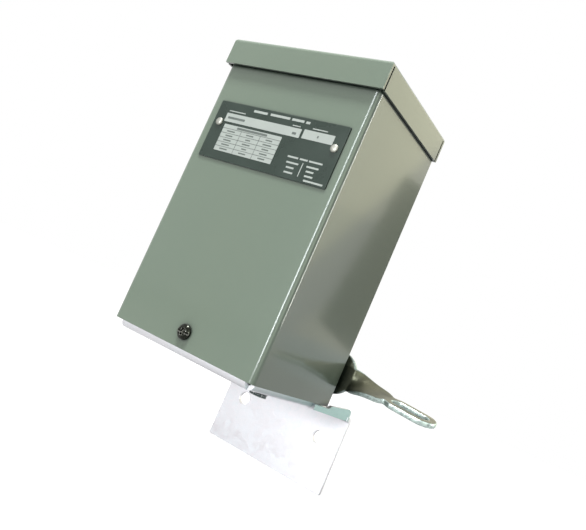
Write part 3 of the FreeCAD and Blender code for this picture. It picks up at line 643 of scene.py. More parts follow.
@dataclass(frozen=True)
class ZincSheetFinish:
    """Zinc-coated sheet with visible crystals."""

    name: str
    pale: Colour
    dark: Colour
    roughness: float
    stain: float
    crystal: float = 300.0
    contrast: float = 1.2
    metallic: float = 0.7

    def make(self) -> bpy.types.Material:
        """Build the material.

        Returns:
            The zinc sheet material.
        """
        worn_strength, dark_roughness = 0.5, 0.16
        sheet = FinishSheet(self.name)
        spangle = sheet.effect(zinc_spangle(), "Value", Scale=self.crystal,
                               Contrast=self.contrast)
        body = sheet.blend(spangle, self.dark, self.pale)
        stains = sheet.effect(paint_specks(), "Mask", Scale=45.0, Size=0.16, Rarity=0.9)
        film = sheet.effect(tone_cloud(), "Value", Scale=120.0, Contrast=4.0, Shift=7.0)
        stained = sheet.blend(stains * film * self.stain, body, ZINC_FILM)
        worn = sheet.effect(rubbed_edge(), "Mask", Threshold=0.42, Radius=0.0004)
        edged = sheet.blend(worn * worn_strength, stained, ZINC_RUBBED)
        # Painted reflection: faces that look right take a teal tint, fuller towards the back.
        reflected_tint = sheet.blend(sheet.effect(painted_side_reflection(), "Mask"), edged, ZINC_REFLECTION_TINT)
        sheet.give({"Base Color": reflected_tint,
                    "Roughness": spangle.flipped() * dark_roughness + self.roughness})
        sheet.gloss(self.metallic)
        sheet.bump(spangle, strength=0.15, distance=0.00015)
        return sheet.material


@dataclass(frozen=True)
class MetalFinish:
    """Plated, turned or drawn metal with grain, tarnish and bright rubbed edges, also painted
    glints when dark.
    """

    name: str
    colour: Colour
    tarnish: Colour
    bright: Colour
    metallic: float
    roughness: float
    grain: Point
    wear: float = 0.42
    tarnish_share: float = 0.6

    def make(self) -> bpy.types.Material:
        """Build the material.

        Returns:
            The metal material.
        """
        cloud_roughness = 0.12
        sheet = FinishSheet(self.name)
        along_x, along_y, along_z = self.grain
        grain = sheet.effect(drawn_grain(), "Value", Along_X=along_x, Along_Y=along_y,
                             Along_Z=along_z)
        cloud = sheet.effect(tone_cloud(), "Value", Scale=150.0, Contrast=2.4)
        body = sheet.blend(cloud.mixed(grain, share=0.4) * self.tarnish_share, self.colour,
                           self.tarnish)
        worn = sheet.effect(rubbed_edge(), "Mask", Threshold=self.wear, Radius=0.0005)
        sheet.give({"Base Color": sheet.blend(worn, body, self.bright),
                    "Roughness": grain.swung(0.25) + cloud * cloud_roughness + self.roughness})
        sheet.gloss(self.metallic)
        sheet.bump(grain, strength=0.25, distance=0.00008)
        return sheet.material


@dataclass(frozen=True)
class LitEdgePlateFinish:
    """Stamped plate: dark broad faces as painted shade, with stains, and light edges as painted
    highlight.
    """

    name: str
    face: Colour
    stain: Colour
    edge: Colour
    edge_shade: Colour
    metallic: float
    roughness: float

    def make(self) -> bpy.types.Material:
        """Build the material; it reads the mesh's own attribute that marks the painted highlight's
        edge band.

        Returns:
            The two-tone plate material.
        """
        cloud_roughness = 0.12
        sheet = FinishSheet(self.name)
        cloud = sheet.effect(tone_cloud(), "Value", Scale=130.0, Contrast=2.6)
        grain = sheet.effect(drawn_grain(), "Value", Along_X=120.0, Along_Y=1100.0,
                             Along_Z=1100.0)
        broad = sheet.blend(cloud.mixed(grain, share=0.3), self.face, self.stain)
        streak = sheet.effect(tone_cloud(), "Value", Scale=520.0, Contrast=2.8, Shift=2.0)
        rim = sheet.blend(streak, self.edge, self.edge_shade)
        # The edge band takes the light tones as a painted highlight, the rest the dark tones as
        # painted shade.
        lit_edge = sheet.node("ShaderNodeAttribute", attribute_name="lit_edge")
        plate = sheet.blend(sheet.number(lit_edge, "Fac"), broad, rim)
        # Painted shade: near black by the hub, the nut and the box's side.
        shade = sheet.effect(crevice_shade(), "Mask", Distance=0.022, Reach=1.5)
        sheet.give({"Base Color": sheet.blend(shade, plate, PLATE_CREVICE_SHADE),
                    "Roughness": cloud * cloud_roughness + grain.swung(0.2) + self.roughness})
        sheet.gloss(self.metallic)
        sheet.bump(grain, strength=0.3, distance=0.0001)
        return sheet.material


@dataclass(frozen=True)
class MouldedFinish:
    """Moulded plastic or printed film: even colour, fine grain, dull edges."""

    name: str
    colour: Colour
    shade: Colour
    roughness: float
    grain_scale: float = 1400.0
    relief: float = 0.00006

    def make(self) -> bpy.types.Material:
        """Build the material.

        Returns:
            The moulded or printed material.
        """
        worn_strength, cloud_roughness = 0.4, 0.1
        sheet = FinishSheet(self.name)
        fine = sheet.effect(tone_cloud(), "Value", Scale=self.grain_scale, Contrast=1.6)
        cloud = sheet.effect(tone_cloud(), "Value", Scale=60.0, Contrast=2.0, Shift=5.0)
        body = sheet.blend(cloud.mixed(fine, share=0.3), self.colour, self.shade)
        worn = sheet.effect(rubbed_edge(), "Mask", Threshold=0.52, Radius=0.0003)
        sheet.give({"Base Color": sheet.blend(worn * worn_strength, body, PLASTIC_RUBBED),
                    "Roughness": cloud * cloud_roughness + self.roughness})
        sheet.gloss(metallic=0.0)
        sheet.bump(fine, strength=0.2, distance=self.relief)
        return sheet.material


class Finish(Enum):
    """Every finish on the switch."""

    ENAMEL = EnamelFinish(
        "grey_green_enamel", colour=(0.204, 0.264, 0.196, 1), cool=(0.183, 0.248, 0.188, 1),
        bare=(0.55, 0.60, 0.55, 1), roughness=0.32, coat=0.9, wear=0.56, dust=0.05)
    ZINC_SHEET = ZincSheetFinish(
        "spangled_zinc_sheet", pale=(0.79, 0.77, 0.80, 1), dark=(0.73, 0.75, 0.78, 1),
        roughness=0.34, stain=1.0)
    INNER_SHEET = ZincSheetFinish(
        "inner_zinc_sheet", pale=(0.66, 0.68, 0.69, 1), dark=(0.48, 0.50, 0.52, 1),
        roughness=0.38, stain=0.3, crystal=180.0)
    # Its dark faces are painted shade and its light edges a painted highlight.
    LEVER_STEEL = LitEdgePlateFinish(
        "stamped_zinc_plate", face=(0.20, 0.20, 0.125, 1), stain=(0.12, 0.120, 0.090, 1),
        edge=(0.64, 0.77, 0.72, 1), edge_shade=(0.34, 0.40, 0.39, 1), metallic=0.75,
        roughness=0.30)
    PLATED = MetalFinish(
        "zinc_plated_hardware", colour=(0.62, 0.64, 0.62, 1), tarnish=(0.40, 0.41, 0.36, 1),
        bright=(0.85, 0.87, 0.84, 1), metallic=0.95, roughness=0.26, grain=(700, 200, 700))
    # Its bright rubbed edges are partly wear and partly painted glints.
    BLACKED = MetalFinish(
        "black_oxide", colour=(0.006, 0.008, 0.004, 1), tarnish=(0.018, 0.020, 0.013, 1),
        bright=(0.80, 0.80, 0.72, 1), metallic=0.7, roughness=0.15, grain=(900, 300, 900),
        wear=0.46)
    # Its bright rubbed edges are partly wear and partly painted glints.
    DARK_ZINC = MetalFinish(
        "dark_zinc", colour=(0.055, 0.075, 0.080, 1), tarnish=(0.015, 0.020, 0.020, 1),
        bright=(0.95, 0.97, 0.95, 1), metallic=0.85, roughness=0.25, grain=(900, 900, 300),
        wear=0.38)
    RIVET = MetalFinish(
        "rivet_aluminium", colour=(0.40, 0.40, 0.36, 1), tarnish=(0.20, 0.21, 0.18, 1),
        bright=(0.85, 0.85, 0.82, 1), metallic=0.85, roughness=0.42, grain=(800, 300, 800))
    SHAFT = MetalFinish(
        "turned_shaft", colour=(0.58, 0.58, 0.57, 1), tarnish=(0.36, 0.36, 0.34, 1),
        bright=(0.80, 0.80, 0.78, 1), metallic=1.0, roughness=0.22, grain=(300, 4000, 300))
    BRONZE = MetalFinish(
        "sintered_bronze", colour=(0.48, 0.31, 0.15, 1), tarnish=(0.28, 0.19, 0.11, 1),
        bright=(0.70, 0.50, 0.28, 1), metallic=0.9, roughness=0.42, grain=(900, 900, 900))
    BRASS = MetalFinish(
        "contact_brass", colour=(0.66, 0.49, 0.20, 1), tarnish=(0.42, 0.30, 0.14, 1),
        bright=(0.86, 0.70, 0.38, 1), metallic=1.0, roughness=0.26, grain=(200, 900, 900))
    SPRING = MetalFinish(
        "spring_wire", colour=(0.50, 0.50, 0.49, 1), tarnish=(0.30, 0.30, 0.28, 1),
        bright=(0.78, 0.78, 0.76, 1), metallic=1.0, roughness=0.25, grain=(900, 900, 300))
    PHENOLIC = MouldedFinish(
        "moulded_phenolic", colour=(0.020, 0.019, 0.018, 1), shade=(0.035, 0.033, 0.030, 1),
        roughness=0.42)
    SLATE_INK = MouldedFinish(
        "slate_plate", colour=(0.017, 0.036, 0.025, 1), shade=(0.028, 0.050, 0.037, 1),
        roughness=0.24, grain_scale=900.0, relief=0.00001)
    PALE_FIELD = MouldedFinish(
        "pale_field", colour=(0.54, 0.60, 0.555, 1), shade=(0.47, 0.52, 0.485, 1),
        roughness=0.40, grain_scale=900.0, relief=0.00002)
    RULE_INK = MouldedFinish(
        "ruled_line", colour=(0.10, 0.13, 0.115, 1), shade=(0.17, 0.20, 0.18, 1),
        roughness=0.45)

    def material(self) -> bpy.types.Material:
        """The finish's material, built on first use."""
        return bpy.data.materials.get(self.value.name) or self.value.make()


def dress(piece: bpy.types.Object, finish: Finish) -> bpy.types.Object:
    """Give a piece one finish.

    Args:
        piece: object whose material slots are set.
        finish: the finish that it gets.

    Returns:
        The same object.
    """
    piece.data.materials.clear()
    piece.data.materials.append(finish.material())
    return piece


# ---------------------------------------------------------------- meshes
def adopt(piece: bpy.types.Object, body: str, finish: Optional[Finish] = None,
          replaced: Sequence[str] = ()) -> bpy.types.Object:
    """Put a finished piece on its body.

    Args:
        piece: object at the origin, with its place in its mesh.
        body: CAD body that it rides on.
        finish: its finish, unless its mesh already carries materials.
        replaced: CAD nodes that it stands for.

    Returns:
        The same object.
    """
    if finish is not None:
        dress(piece, finish)
    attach(piece, body)
    if replaced:
        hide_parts(*replaced)
    log.info("%s rides on %s with %d faces", piece.name, body, len(piece.data.polygons))
    return piece


@contextmanager
def editing(mesh: bpy.types.Mesh) -> Iterator[bmesh.types.BMesh]:
    """Open a mesh for changes, and write them back at the end.

    Args:
        mesh: mesh to change, or an empty one to fill.

    Yields:
        The mesh in its editable form.
    """
    work = bmesh.new()
    work.from_mesh(mesh)
    yield work
    work.to_mesh(mesh)
    work.free()


def new_object(name: str, data: bpy.types.ID) -> bpy.types.Object:
    """Make an object and put it in the scene.

    Args:
        name: name of the object.
        data: mesh, curve, light or camera that it shows.

    Returns:
        The new object.
    """
    piece = bpy.data.objects.new(name, data)
    bpy.context.scene.collection.objects.link(piece)
    return piece


def settle(piece: bpy.types.Object) -> bpy.types.Object:
    """Apply every modifier of a piece and leave a plain mesh.

    Args:
        piece: object with live modifiers.

    Returns:
        The same object, with the result as its mesh.
    """
    view = bpy.context.evaluated_depsgraph_get()
    mesh = bpy.data.meshes.new_from_object(piece.evaluated_get(view))
    piece.modifiers.clear()
    piece.data = mesh
    return piece


def softened_copy(node: str, name: str, soften: float) -> bpy.types.Object:
    """Copy a CAD node with merged faces, smooth bends and softly broken edges.

    Args:
        node: CAD node to copy.
        name: name of the copy.
        soften: width of the broken edges in metres.

    Returns:
        The new object.
    """
    merge_gap, flat_angle, edge_angle = 2e-6, math.radians(0.3), math.radians(32.0)
    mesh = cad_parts[node].data.copy()
    mesh.name = name
    with editing(mesh) as work:
        bmesh.ops.remove_doubles(work, verts=work.verts, dist=merge_gap)
        bmesh.ops.dissolve_limit(work, angle_limit=flat_angle, verts=work.verts,
                                 edges=work.edges)
        for face in work.faces:
            face.smooth = True
    if "custom_normal" in mesh.attributes:
        mesh.attributes.remove(mesh.attributes["custom_normal"])
    piece = new_object(name, mesh)
    bevel = piece.modifiers.new("soften", "BEVEL")
    bevel.width = soften
    bevel.segments = 2
    bevel.limit_method = "ANGLE"
    bevel.angle_limit = edge_angle
    bevel.harden_normals = True
    bevel.use_clamp_overlap = True
    return settle(piece)


def arc(centre: float, radius: float, start: float, span: float, steps: int) -> list[Vector]:
    """Points of an arc whose centre lies on X.

    Args:
        centre: the centre's place on X.
        radius: radius of the arc.
        start: angle of its first point.
        span: angle that it goes round, counter-clockwise.
        steps: number of equal steps in it.

    Returns:
        The points, both ends among them.
    """
    angles = [start + span * step / steps for step in range(steps + 1)]
    return [Vector((centre + radius * math.cos(angle), radius * math.sin(angle)))
            for angle in angles]


def closed_outline(corners: Sequence[Point], steps: int) -> list[Vector]:
    """Round the corners of a closed outline.

    Args:
        corners: x, y and radius of each corner, counter-clockwise.
        steps: number of equal steps in each rounded corner.

    Returns:
        Points of the outline.
    """
    straight_on = QUARTER_TURN - 1e-4
    points: list[Vector] = []
    count = len(corners)
    for index, (x, y, radius) in enumerate(corners):
        corner = Vector((x, y))
        before = (Vector(corners[index - 1][:2]) - corner).normalized()
        after = (Vector(corners[(index + 1) % count][:2]) - corner).normalized()
        half = math.acos(max(-1.0, min(1.0, before.dot(after)))) / 2
        if radius <= 0 or half > straight_on:
            points.append(corner)
            continue
        reach = radius / math.tan(half)
        start, end = corner + before * reach, corner + after * reach
        centre = corner + (before + after).normalized() * (radius / math.sin(half))
        first, last = start - centre, end - centre
        turn = first.angle_signed(last)
        for step in range(steps + 1):
            spoke = first.copy()
            spoke.rotate(Matrix.Rotation(-turn * step / steps, 2))
            points.append(centre + spoke)
    return points


def rounded_box(left: float, right: float, half_height: float, corner: float,
                steps: int) -> list[Vector]:
    """Outline of a box with rounded corners, its middle line on X.

    Args:
        left: its left side.
        right: its right side.
        half_height: half of its height.
        corner: radius of its corners.
        steps: number of equal steps in each corner.

    Returns:
        Points of the outline.
    """
    return closed_outline([(left, -half_height, corner), (right, -half_height, corner),
                           (right, half_height, corner), (left, half_height, corner)], steps)


def plate_mesh(name: str, outer: Sequence[Vector], holes: Sequence[Sequence[Vector]],
               thickness: float, edge: float) -> bpy.types.Object:
    """Flat plate with holes and rolled edges, centred on the XY plane.

    Args:
        name: name of the object.
        outer: outline of the plate.
        holes: outlines of its holes.
        thickness: sheet thickness.
        edge: radius of its rolled edges.

    Returns:
        The plate as a mesh object.
    """
    curve = bpy.data.curves.new(name, "CURVE")
    curve.dimensions = "2D"
    curve.fill_mode = "BOTH"
    for outline in (outer, *holes):
        spline = curve.splines.new("POLY")
        spline.points.add(len(outline) - 1)
        for point, place in zip(spline.points, outline):
            point.co = (place.x, place.y, 0.0, 1.0)
        spline.use_cyclic_u = True
    curve.extrude = thickness / 2 - edge
    curve.bevel_depth = edge
    curve.bevel_resolution = 2
    curve.offset = -edge
    drawn = new_object(name + "_outline", curve)
    bpy.context.view_layer.update()
    view = bpy.context.evaluated_depsgraph_get()
    mesh = bpy.data.meshes.new_from_object(drawn.evaluated_get(view))
    bpy.data.objects.remove(drawn)
    mesh.name = name
    return new_object(name, mesh)


# ---------------------------------------------------------------- repeated details
class GeometryRecipe:
    """A geometry node tree with named inputs, applied to a fresh object."""

    def __init__(self, name: str, inputs: dict[str, Union[float, int]]) -> None:
        """Start the tree.

        Args:
            name: the tree's name.
            inputs: its inputs with their values; whole numbers make integer sockets.
        """
        self.name = name
        self.tree = bpy.data.node_groups.new(name, "GeometryNodeTree")
        self.sheet = Sheet(self.tree)
        self.values: dict[str, Union[float, int]] = {}
        for label, value in inputs.items():
            kind = "NodeSocketInt" if isinstance(value, int) else "NodeSocketFloat"
            socket = self.tree.interface.new_socket(label, in_out="INPUT", socket_type=kind)
            self.values[socket.identifier] = value
        self.tree.interface.new_socket("Geometry", in_out="OUTPUT",
                                       socket_type="NodeSocketGeometry")
        self.entry = self.sheet.node("NodeGroupInput")

    def given(self, label: str) -> Formula:
        """One of the tree's inputs as a formula."""
        return self.sheet.number(self.entry, label)

    def row(self, axis: int, count: Formula, first: Formula,
            pitch: Formula) -> bpy.types.NodeSocket:
        """Place points in a row.

        Args:
            axis: 0 for a row along X, 1 for a row along Y.
            count: number of points.
            first: place of the first one on that axis.
            pitch: distance from point to point.

        Returns:
            The points' socket.
        """
        start = self.sheet.node("ShaderNodeCombineXYZ", {axis: first})
        step = self.sheet.node("ShaderNodeCombineXYZ", {axis: pitch})
        line = self.sheet.node("GeometryNodeMeshLine", {
            "Count": count, "Start Location": start.outputs[0], "Offset": step.outputs[0]})
        return line.outputs[0]

    def spread(self, points: bpy.types.NodeSocket, shape: bpy.types.NodeSocket,
               **more: Feed) -> bpy.types.NodeSocket:
        """Put a shape on every point.

        Args:
            points: where it goes.
            shape: the shape.
            more: further inputs of the node, such as its scale.

        Returns:
            The instances' socket.
        """
        node = self.sheet.node("GeometryNodeInstanceOnPoints", {
            "Points": points, "Instance": shape, **more})
        return node.outputs[0]

    def finish(self, shape: bpy.types.NodeSocket,
               material: bpy.types.Material) -> bpy.types.Object:
        """End the tree and turn its result into a plain mesh.

        Args:
            shape: the geometry, with instances.
            material: what it is made of.

        Returns:
            The new object, at the origin.
        """
        real = self.sheet.node("GeometryNodeRealizeInstances", {0: shape})
        set_material = self.sheet.node("GeometryNodeSetMaterial", {"Geometry": real.outputs[0],
                                                                   "Material": material})
        leave = self.sheet.node("NodeGroupOutput")
        self.tree.links.new(set_material.outputs[0], leave.inputs[0])
        piece = new_object(self.name, bpy.data.meshes.new(self.name))
        modifier = piece.modifiers.new("recipe", "NODES")
        modifier.node_group = self.tree
        for identifier, value in self.values.items():
            modifier[identifier] = value
        bpy.context.view_layer.update()
        return settle(piece)


def rivet_row(name: str, count: int, pitch: float, head: float, height: float,
              finish: Finish) -> bpy.types.Object:
    """Row of domed rivet heads along X, their flat sides on the XY plane.

    Args:
        name: name of the object.
        count: number of rivets.
        pitch: distance between them.
        head: radius of a head.
        height: height of a head.
        finish: what they are made of.

    Returns:
        The rivets as one mesh, centred on the origin.
    """
    crown_share, lip_curve, crown_curve = 0.62, 0.8, 0.75
    recipe = GeometryRecipe(name, {"Count": count, "Pitch": pitch, "Head Radius": head,
                                   "Head Height": height, "Turns": 33, "Steps": 17})
    sheet = recipe.sheet
    grid = sheet.node("GeometryNodeMeshGrid", {"Size X": 1.0, "Size Y": 1.0,
                                               "Vertices X": recipe.given("Turns"),
                                               "Vertices Y": recipe.given("Steps")})
    place = sheet.node("GeometryNodeInputPosition").outputs[0]
    around = (sheet.axis(place, "X") + 0.5) * (2 * math.pi)
    along = sheet.axis(place, "Y") + 0.5
    angle = (along / crown_share).math("MINIMUM", 1.0) * QUARTER_TURN
    under = ((along - crown_share) / (1 - crown_share)).math("MAXIMUM", 0.0)
    lip = angle.math("SINE").math("POWER", lip_curve)
    radius = lip * under.flipped() * recipe.given("Head Radius")
    rise = angle.math("COSINE").math("POWER", crown_curve) * recipe.given("Head Height")
    formed = sheet.node("ShaderNodeCombineXYZ", {0: around.math("COSINE") * radius,
                                                 1: around.math("SINE") * radius, 2: rise})
    turned = sheet.node("GeometryNodeSetPosition", {"Geometry": grid.outputs["Mesh"],
                                                    "Position": formed.outputs[0]})
    joined = sheet.node("GeometryNodeMergeByDistance", {"Geometry": turned.outputs[0],
                                                        "Distance": SAME_POINT})
    smooth = sheet.node("GeometryNodeSetShadeSmooth", {"Geometry": joined.outputs[0]})
    first = (recipe.given("Count") - 1.0) * recipe.given("Pitch") * -0.5
    line = recipe.row(0, recipe.given("Count"), first, recipe.given("Pitch"))
    piece = recipe.finish(recipe.spread(line, smooth.outputs[0]), finish.material())
    with editing(piece.data) as work:
        bmesh.ops.remove_doubles(work, verts=work.verts, dist=SAME_POINT)
        bmesh.ops.recalc_face_normals(work, faces=work.faces)
    return piece


def ruled_lines(name: str, width: float, height: float, columns: int, rows: int, line: float,
                depth: float, finish: Finish) -> bpy.types.Object:
    """Lines that divide a field into columns and rows, on the XY plane.

    Args:
        name: name of the object.
        width: width of the field.
        height: height of the field.
        columns: number of columns.
        rows: number of rows.
        line: width of a line.
        depth: how far a line stands out.
        finish: what the lines are made of.

    Returns:
        The lines as one mesh, centred on the field.
    """
    recipe = GeometryRecipe(name, {"Width": width, "Height": height, "Columns": columns,
                                   "Rows": rows, "Line": line, "Depth": depth})
    sheet = recipe.sheet
    join = sheet.node("GeometryNodeJoinGeometry")
    for axis, reach, across, count in ((0, "Width", "Height", "Rows"),
                                       (1, "Height", "Width", "Columns")):
        pitch = recipe.given(across) / recipe.given(count)
        sizes = [recipe.given("Line"), recipe.given("Line"), recipe.given("Depth")]
        sizes[axis] = recipe.given(reach)
        size = sheet.node("ShaderNodeCombineXYZ", dict(enumerate(sizes)))
        bar = sheet.node("GeometryNodeMeshCube", {"Size": size.outputs[0]})
        first = recipe.given(across) * -0.5 + pitch
        points = recipe.row(1 - axis, recipe.given(count) - 1.0, first, pitch)
        sheet.tree.links.new(recipe.spread(points, bar.outputs["Mesh"]), join.inputs[0])
    return recipe.finish(join.outputs[0], finish.material())


def bar_column(name: str, count: int, pitch: float, shortest: float, longest: float,
               thick: float, depth: float, seed: int, finish: Finish) -> bpy.types.Object:
    """Short plain bars of uneven length, one under the other, on the XY plane.

    Args:
        name: name of the object.
        count: number of bars.
        pitch: distance from bar to bar.
        shortest: length of the shortest bar.
        longest: length of the longest bar.
        thick: height of a bar.
        depth: how far a bar stands out.
        seed: fixed seed of the uneven lengths.
        finish: what the bars are made of.

    Returns:
        The bars as one mesh, the middle of the column on the origin.
    """
    # A random value node has a set of sockets for each kind of data. These are the number's.
    low_input, high_input, seed_input, drawn = 2, 3, 8, 1
    recipe = GeometryRecipe(name, {"Count": count, "Pitch": pitch, "Shortest": shortest,
                                   "Longest": longest, "Thickness": thick, "Depth": depth,
                                   "Seed": seed})
    sheet = recipe.sheet
    first = (recipe.given("Count") - 1.0) * recipe.given("Pitch") * 0.5
    points = recipe.row(1, recipe.given("Count"), first, recipe.given("Pitch") * -1.0)
    bar = sheet.node("GeometryNodeMeshCube")
    length = sheet.node("FunctionNodeRandomValue", {low_input: recipe.given("Shortest"),
                                                    high_input: recipe.given("Longest"),
                                                    seed_input: recipe.given("Seed")})
    size = sheet.node("ShaderNodeCombineXYZ", {0: length.outputs[drawn],
                                               1: recipe.given("Thickness"),
                                               2: recipe.given("Depth")})
    return recipe.finish(recipe.spread(points, bar.outputs["Mesh"], Scale=size.outputs[0]),
                         finish.material())


def facing_front(place: Vector) -> Matrix:
    """Matrix that stands the XY plane upright at a place, its Z axis towards the front (-Y)."""
    return Matrix.Translation(place) @ Matrix.Rotation(QUARTER_TURN, 4, "X")


# ---------------------------------------------------------------- sub-assemblies
@dataclass
class Enclosure:
    """Painted cover and rain hood on the zinc-coated pan, with their fixings."""

    paint_edge: float = 0.35 * MM
    sheet_edge: float = 0.25 * MM
    cover_screw_edge: float = 0.18 * MM
    earth_screw_edge: float = 0.2 * MM

    def build(self) -> None:
        """Make the shells and the screws, and dress the nut and the hood's rivets."""
        for node, name, soften, slot, finish in (
                ("cover", "cover_shell", self.paint_edge, "enclosure_paint", Finish.ENAMEL),
                ("top_hood", "rain_hood", self.paint_edge, "enclosure_paint", Finish.ENAMEL),
                ("base_pan", "base_and_flange", self.sheet_edge, "galvanised_sheet",
                 Finish.ZINC_SHEET),
                ("back_plate", "rear_plate", self.sheet_edge, "inner_sheet",
                 Finish.INNER_SHEET),
                ("cover_screw", "front_screw", self.cover_screw_edge, "black_hardware",
                 Finish.BLACKED),
                ("ground_screw", "earth_screw", self.earth_screw_edge, "black_hardware",
                 Finish.DARK_ZINC)):
            adopt(softened_copy(node, name, soften), "enclosure", finish, [node])
        dress(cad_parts["ground_nut"], Finish.PLATED)
        dress(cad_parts["hood_rivets"], Finish.RIVET)


@dataclass(frozen=True)
class PrintedBars:
    """Plain bars of one height, laid on the plate as one piece, in millimetres."""

    name: str
    thick: float
    finish: Finish
    layer: float
    places: tuple[Point, ...]  # each bar's middle to the right, its middle upwards, its length


@dataclass
class Nameplate:
    """Slate plate with plain pale fields, ruled lines and bars, held by two rivets.

    Its lists of places are in millimetres to the right of the plate's centre and above it.
    Layers are heights above its face, in thicknesses of the film.
    """

    film: float = 0.06 * MM
    line: float = 0.32 * MM
    plate_edge: float = 0.12 * MM
    field_corner: float = 0.4 * MM
    rolled_share: float = 0.2
    table_size: tuple[float, float] = (41.0 * MM, 13.4 * MM)
    table_columns: int = 3
    table_rows: int = 5
    table_middle: tuple[float, float] = (-14.4, -5.2)
    bar_middles: tuple[float, ...] = (-28.4, -14.6, -1.0)
    bar_pitch: float = 2.68 * MM
    bar_lengths: tuple[float, float] = (3.0 * MM, 6.0 * MM)
    bar_thick: float = 0.75 * MM
    first_seed: int = 3
    divider_middle: tuple[float, float] = (25.5, -10.7)
    divider_length: float = 7.6 * MM
    divider_share: float = 1.6
    on_plate: float = 0.5
    on_field: float = 1.0
    rivet_head: float = 2.3 * MM
    rivet_height: float = 1.25 * MM

    def __post_init__(self) -> None:
        """Read the plate's face and centre from the frame."""
        low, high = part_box("nameplate")
        self.face: float = low.y
        self.middle: float = (low.x + high.x) / 2
        self.centre: float = (low.z + high.z) / 2

    def build(self) -> None:
        """Make the plate, its print and its rivets."""
        adopt(softened_copy("nameplate", "slate_plate", self.plate_edge), "enclosure",
              Finish.SLATE_INK, ["nameplate"])
        self.pale_field("long_field", right=-10.2, up=7.95, width=52.6, height=5.1)
        self.pale_field("short_field", right=27.4, up=8.3, width=19.5, height=5.1)
        self.pale_field("table_field", right=-14.4, up=-4.05, width=41.0, height=15.9)
        self.table()
        divider = bar_column("divider", 1, self.bar_pitch, self.divider_length,
                             self.divider_length, self.line * self.divider_share, self.film,
                             1, Finish.PALE_FIELD)
        self.stand(divider, *self.divider_middle, self.on_plate, upright=True)
        for bars in (
                PrintedBars("title_bars", 1.35, Finish.PALE_FIELD, self.on_plate, (
                    (-14.3, 14.6, 9.6), (-0.7, 14.7, 13.4), (11.4, 14.7, 8.0),
                    (18.0, 14.6, 2.6))),
                PrintedBars("caption_bars", 0.55, Finish.PALE_FIELD, self.on_plate, (
                    (-29.8, 11.9, 11.8), (11.9, 11.6, 5.2), (27.0, 12.1, 9.4))),
                PrintedBars("lower_bars", 0.95, Finish.PALE_FIELD, self.on_plate, (
                    (18.0, -5.2, 6.8), (25.0, -5.2, 5.0), (32.6, -5.2, 8.4),
                    (19.1, -8.3, 7.8), (18.8, -11.0, 5.0), (19.0, -13.7, 5.6),
                    (32.0, -8.2, 7.5), (31.4, -10.7, 4.8), (31.8, -13.2, 5.2),
                    (35.8, -15.6, 12.0))),
                PrintedBars("field_bars", 1.3, Finish.RULE_INK, self.on_field, (
                    (-28.6, 7.9, 12.4), (12.2, 7.4, 2.6), (27.3, 8.2, 0.9),
                    (-14.4, 2.7, 21.5))),
                PrintedBars("header_line", 0.32, Finish.RULE_INK, self.on_field, (
                    (-14.4, 1.5, 41.0),))):
            self.print_bars(bars)
        self.rivets()

    def table(self) -> None:
        """Rule the table, and put a column of bars of uneven length in each of its columns."""
        right, up = self.table_middle
        lines = ruled_lines("table_lines", *self.table_size, self.table_columns,
                            self.table_rows, self.line, self.film, Finish.RULE_INK)
        self.stand(lines, right, up, self.on_field)
        for number, column in enumerate(self.bar_middles):
            bars = bar_column(f"table_bars_{number}", self.table_rows, self.bar_pitch,
                              *self.bar_lengths, self.bar_thick, self.film,
                              number + self.first_seed, Finish.RULE_INK)
            self.stand(bars, column, up, self.on_field)

    def rivets(self) -> None:
        """Put the two drive rivets in the plate."""
        low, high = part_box("nameplate_rivets")
        pair = rivet_row("plate_rivet_heads", 2, high.x - low.x - 2 * self.rivet_head,
                         self.rivet_head, self.rivet_height, Finish.RIVET)
        middle = Vector(((low.x + high.x) / 2, self.face, (low.z + high.z) / 2))
        pair.data.transform(facing_front(middle))
        adopt(pair, "enclosure", None, ["nameplate_rivets"])

    def stand(self, piece: bpy.types.Object, right: float, up: float, layer: float,
              upright: bool = False) -> None:
        """Put a flat detail on the plate's face.

        Args:
            piece: detail drawn on the XY plane.
            right: millimetres to the right of the plate's centre.
            up: millimetres above it.
            layer: height above the face, in film thicknesses.
            upright: whether to turn it by a quarter first.
        """
        place = Vector((self.middle + right * MM, self.face - layer * self.film,
                        self.centre + up * MM))
        turn = Matrix.Rotation(QUARTER_TURN if upright else 0.0, 4, "Z")
        piece.data.transform(facing_front(place) @ turn)
        adopt(piece, "enclosure")

    def print_bars(self, bars: PrintedBars) -> None:
        """Lay plain bars on the plate, as one piece.

        Args:
            bars: what they are like and where they lie.
        """
        mesh = bpy.data.meshes.new(bars.name)
        with editing(mesh) as work:
            for right, up, length in bars.places:
                size = Matrix.Diagonal((length * MM, bars.thick * MM, self.film, 1))
                place = Matrix.Translation((right * MM, up * MM, 0))
                bmesh.ops.create_cube(work, size=1.0, matrix=place @ size)
        self.stand(dress(new_object(bars.name, mesh), bars.finish), 0.0, 0.0, bars.layer)

    def pale_field(self, name: str, right: float, up: float, width: float,
                   height: float) -> None:
        """Lay a pale field with rounded corners on the plate.

        Args:
            name: name of the piece.
            right: millimetres from the plate's centre to the field's, to the right.
            up: the same, upwards.
            width: width in millimetres.
            height: height in millimetres.
        """
        half = width * MM / 2
        outline = rounded_box(-half, half, height * MM / 2, self.field_corner, steps=4)
        piece = plate_mesh(name, outline, [], self.film, self.film * self.rolled_share)
        self.stand(dress(piece, Finish.PALE_FIELD), right, up, self.on_plate)


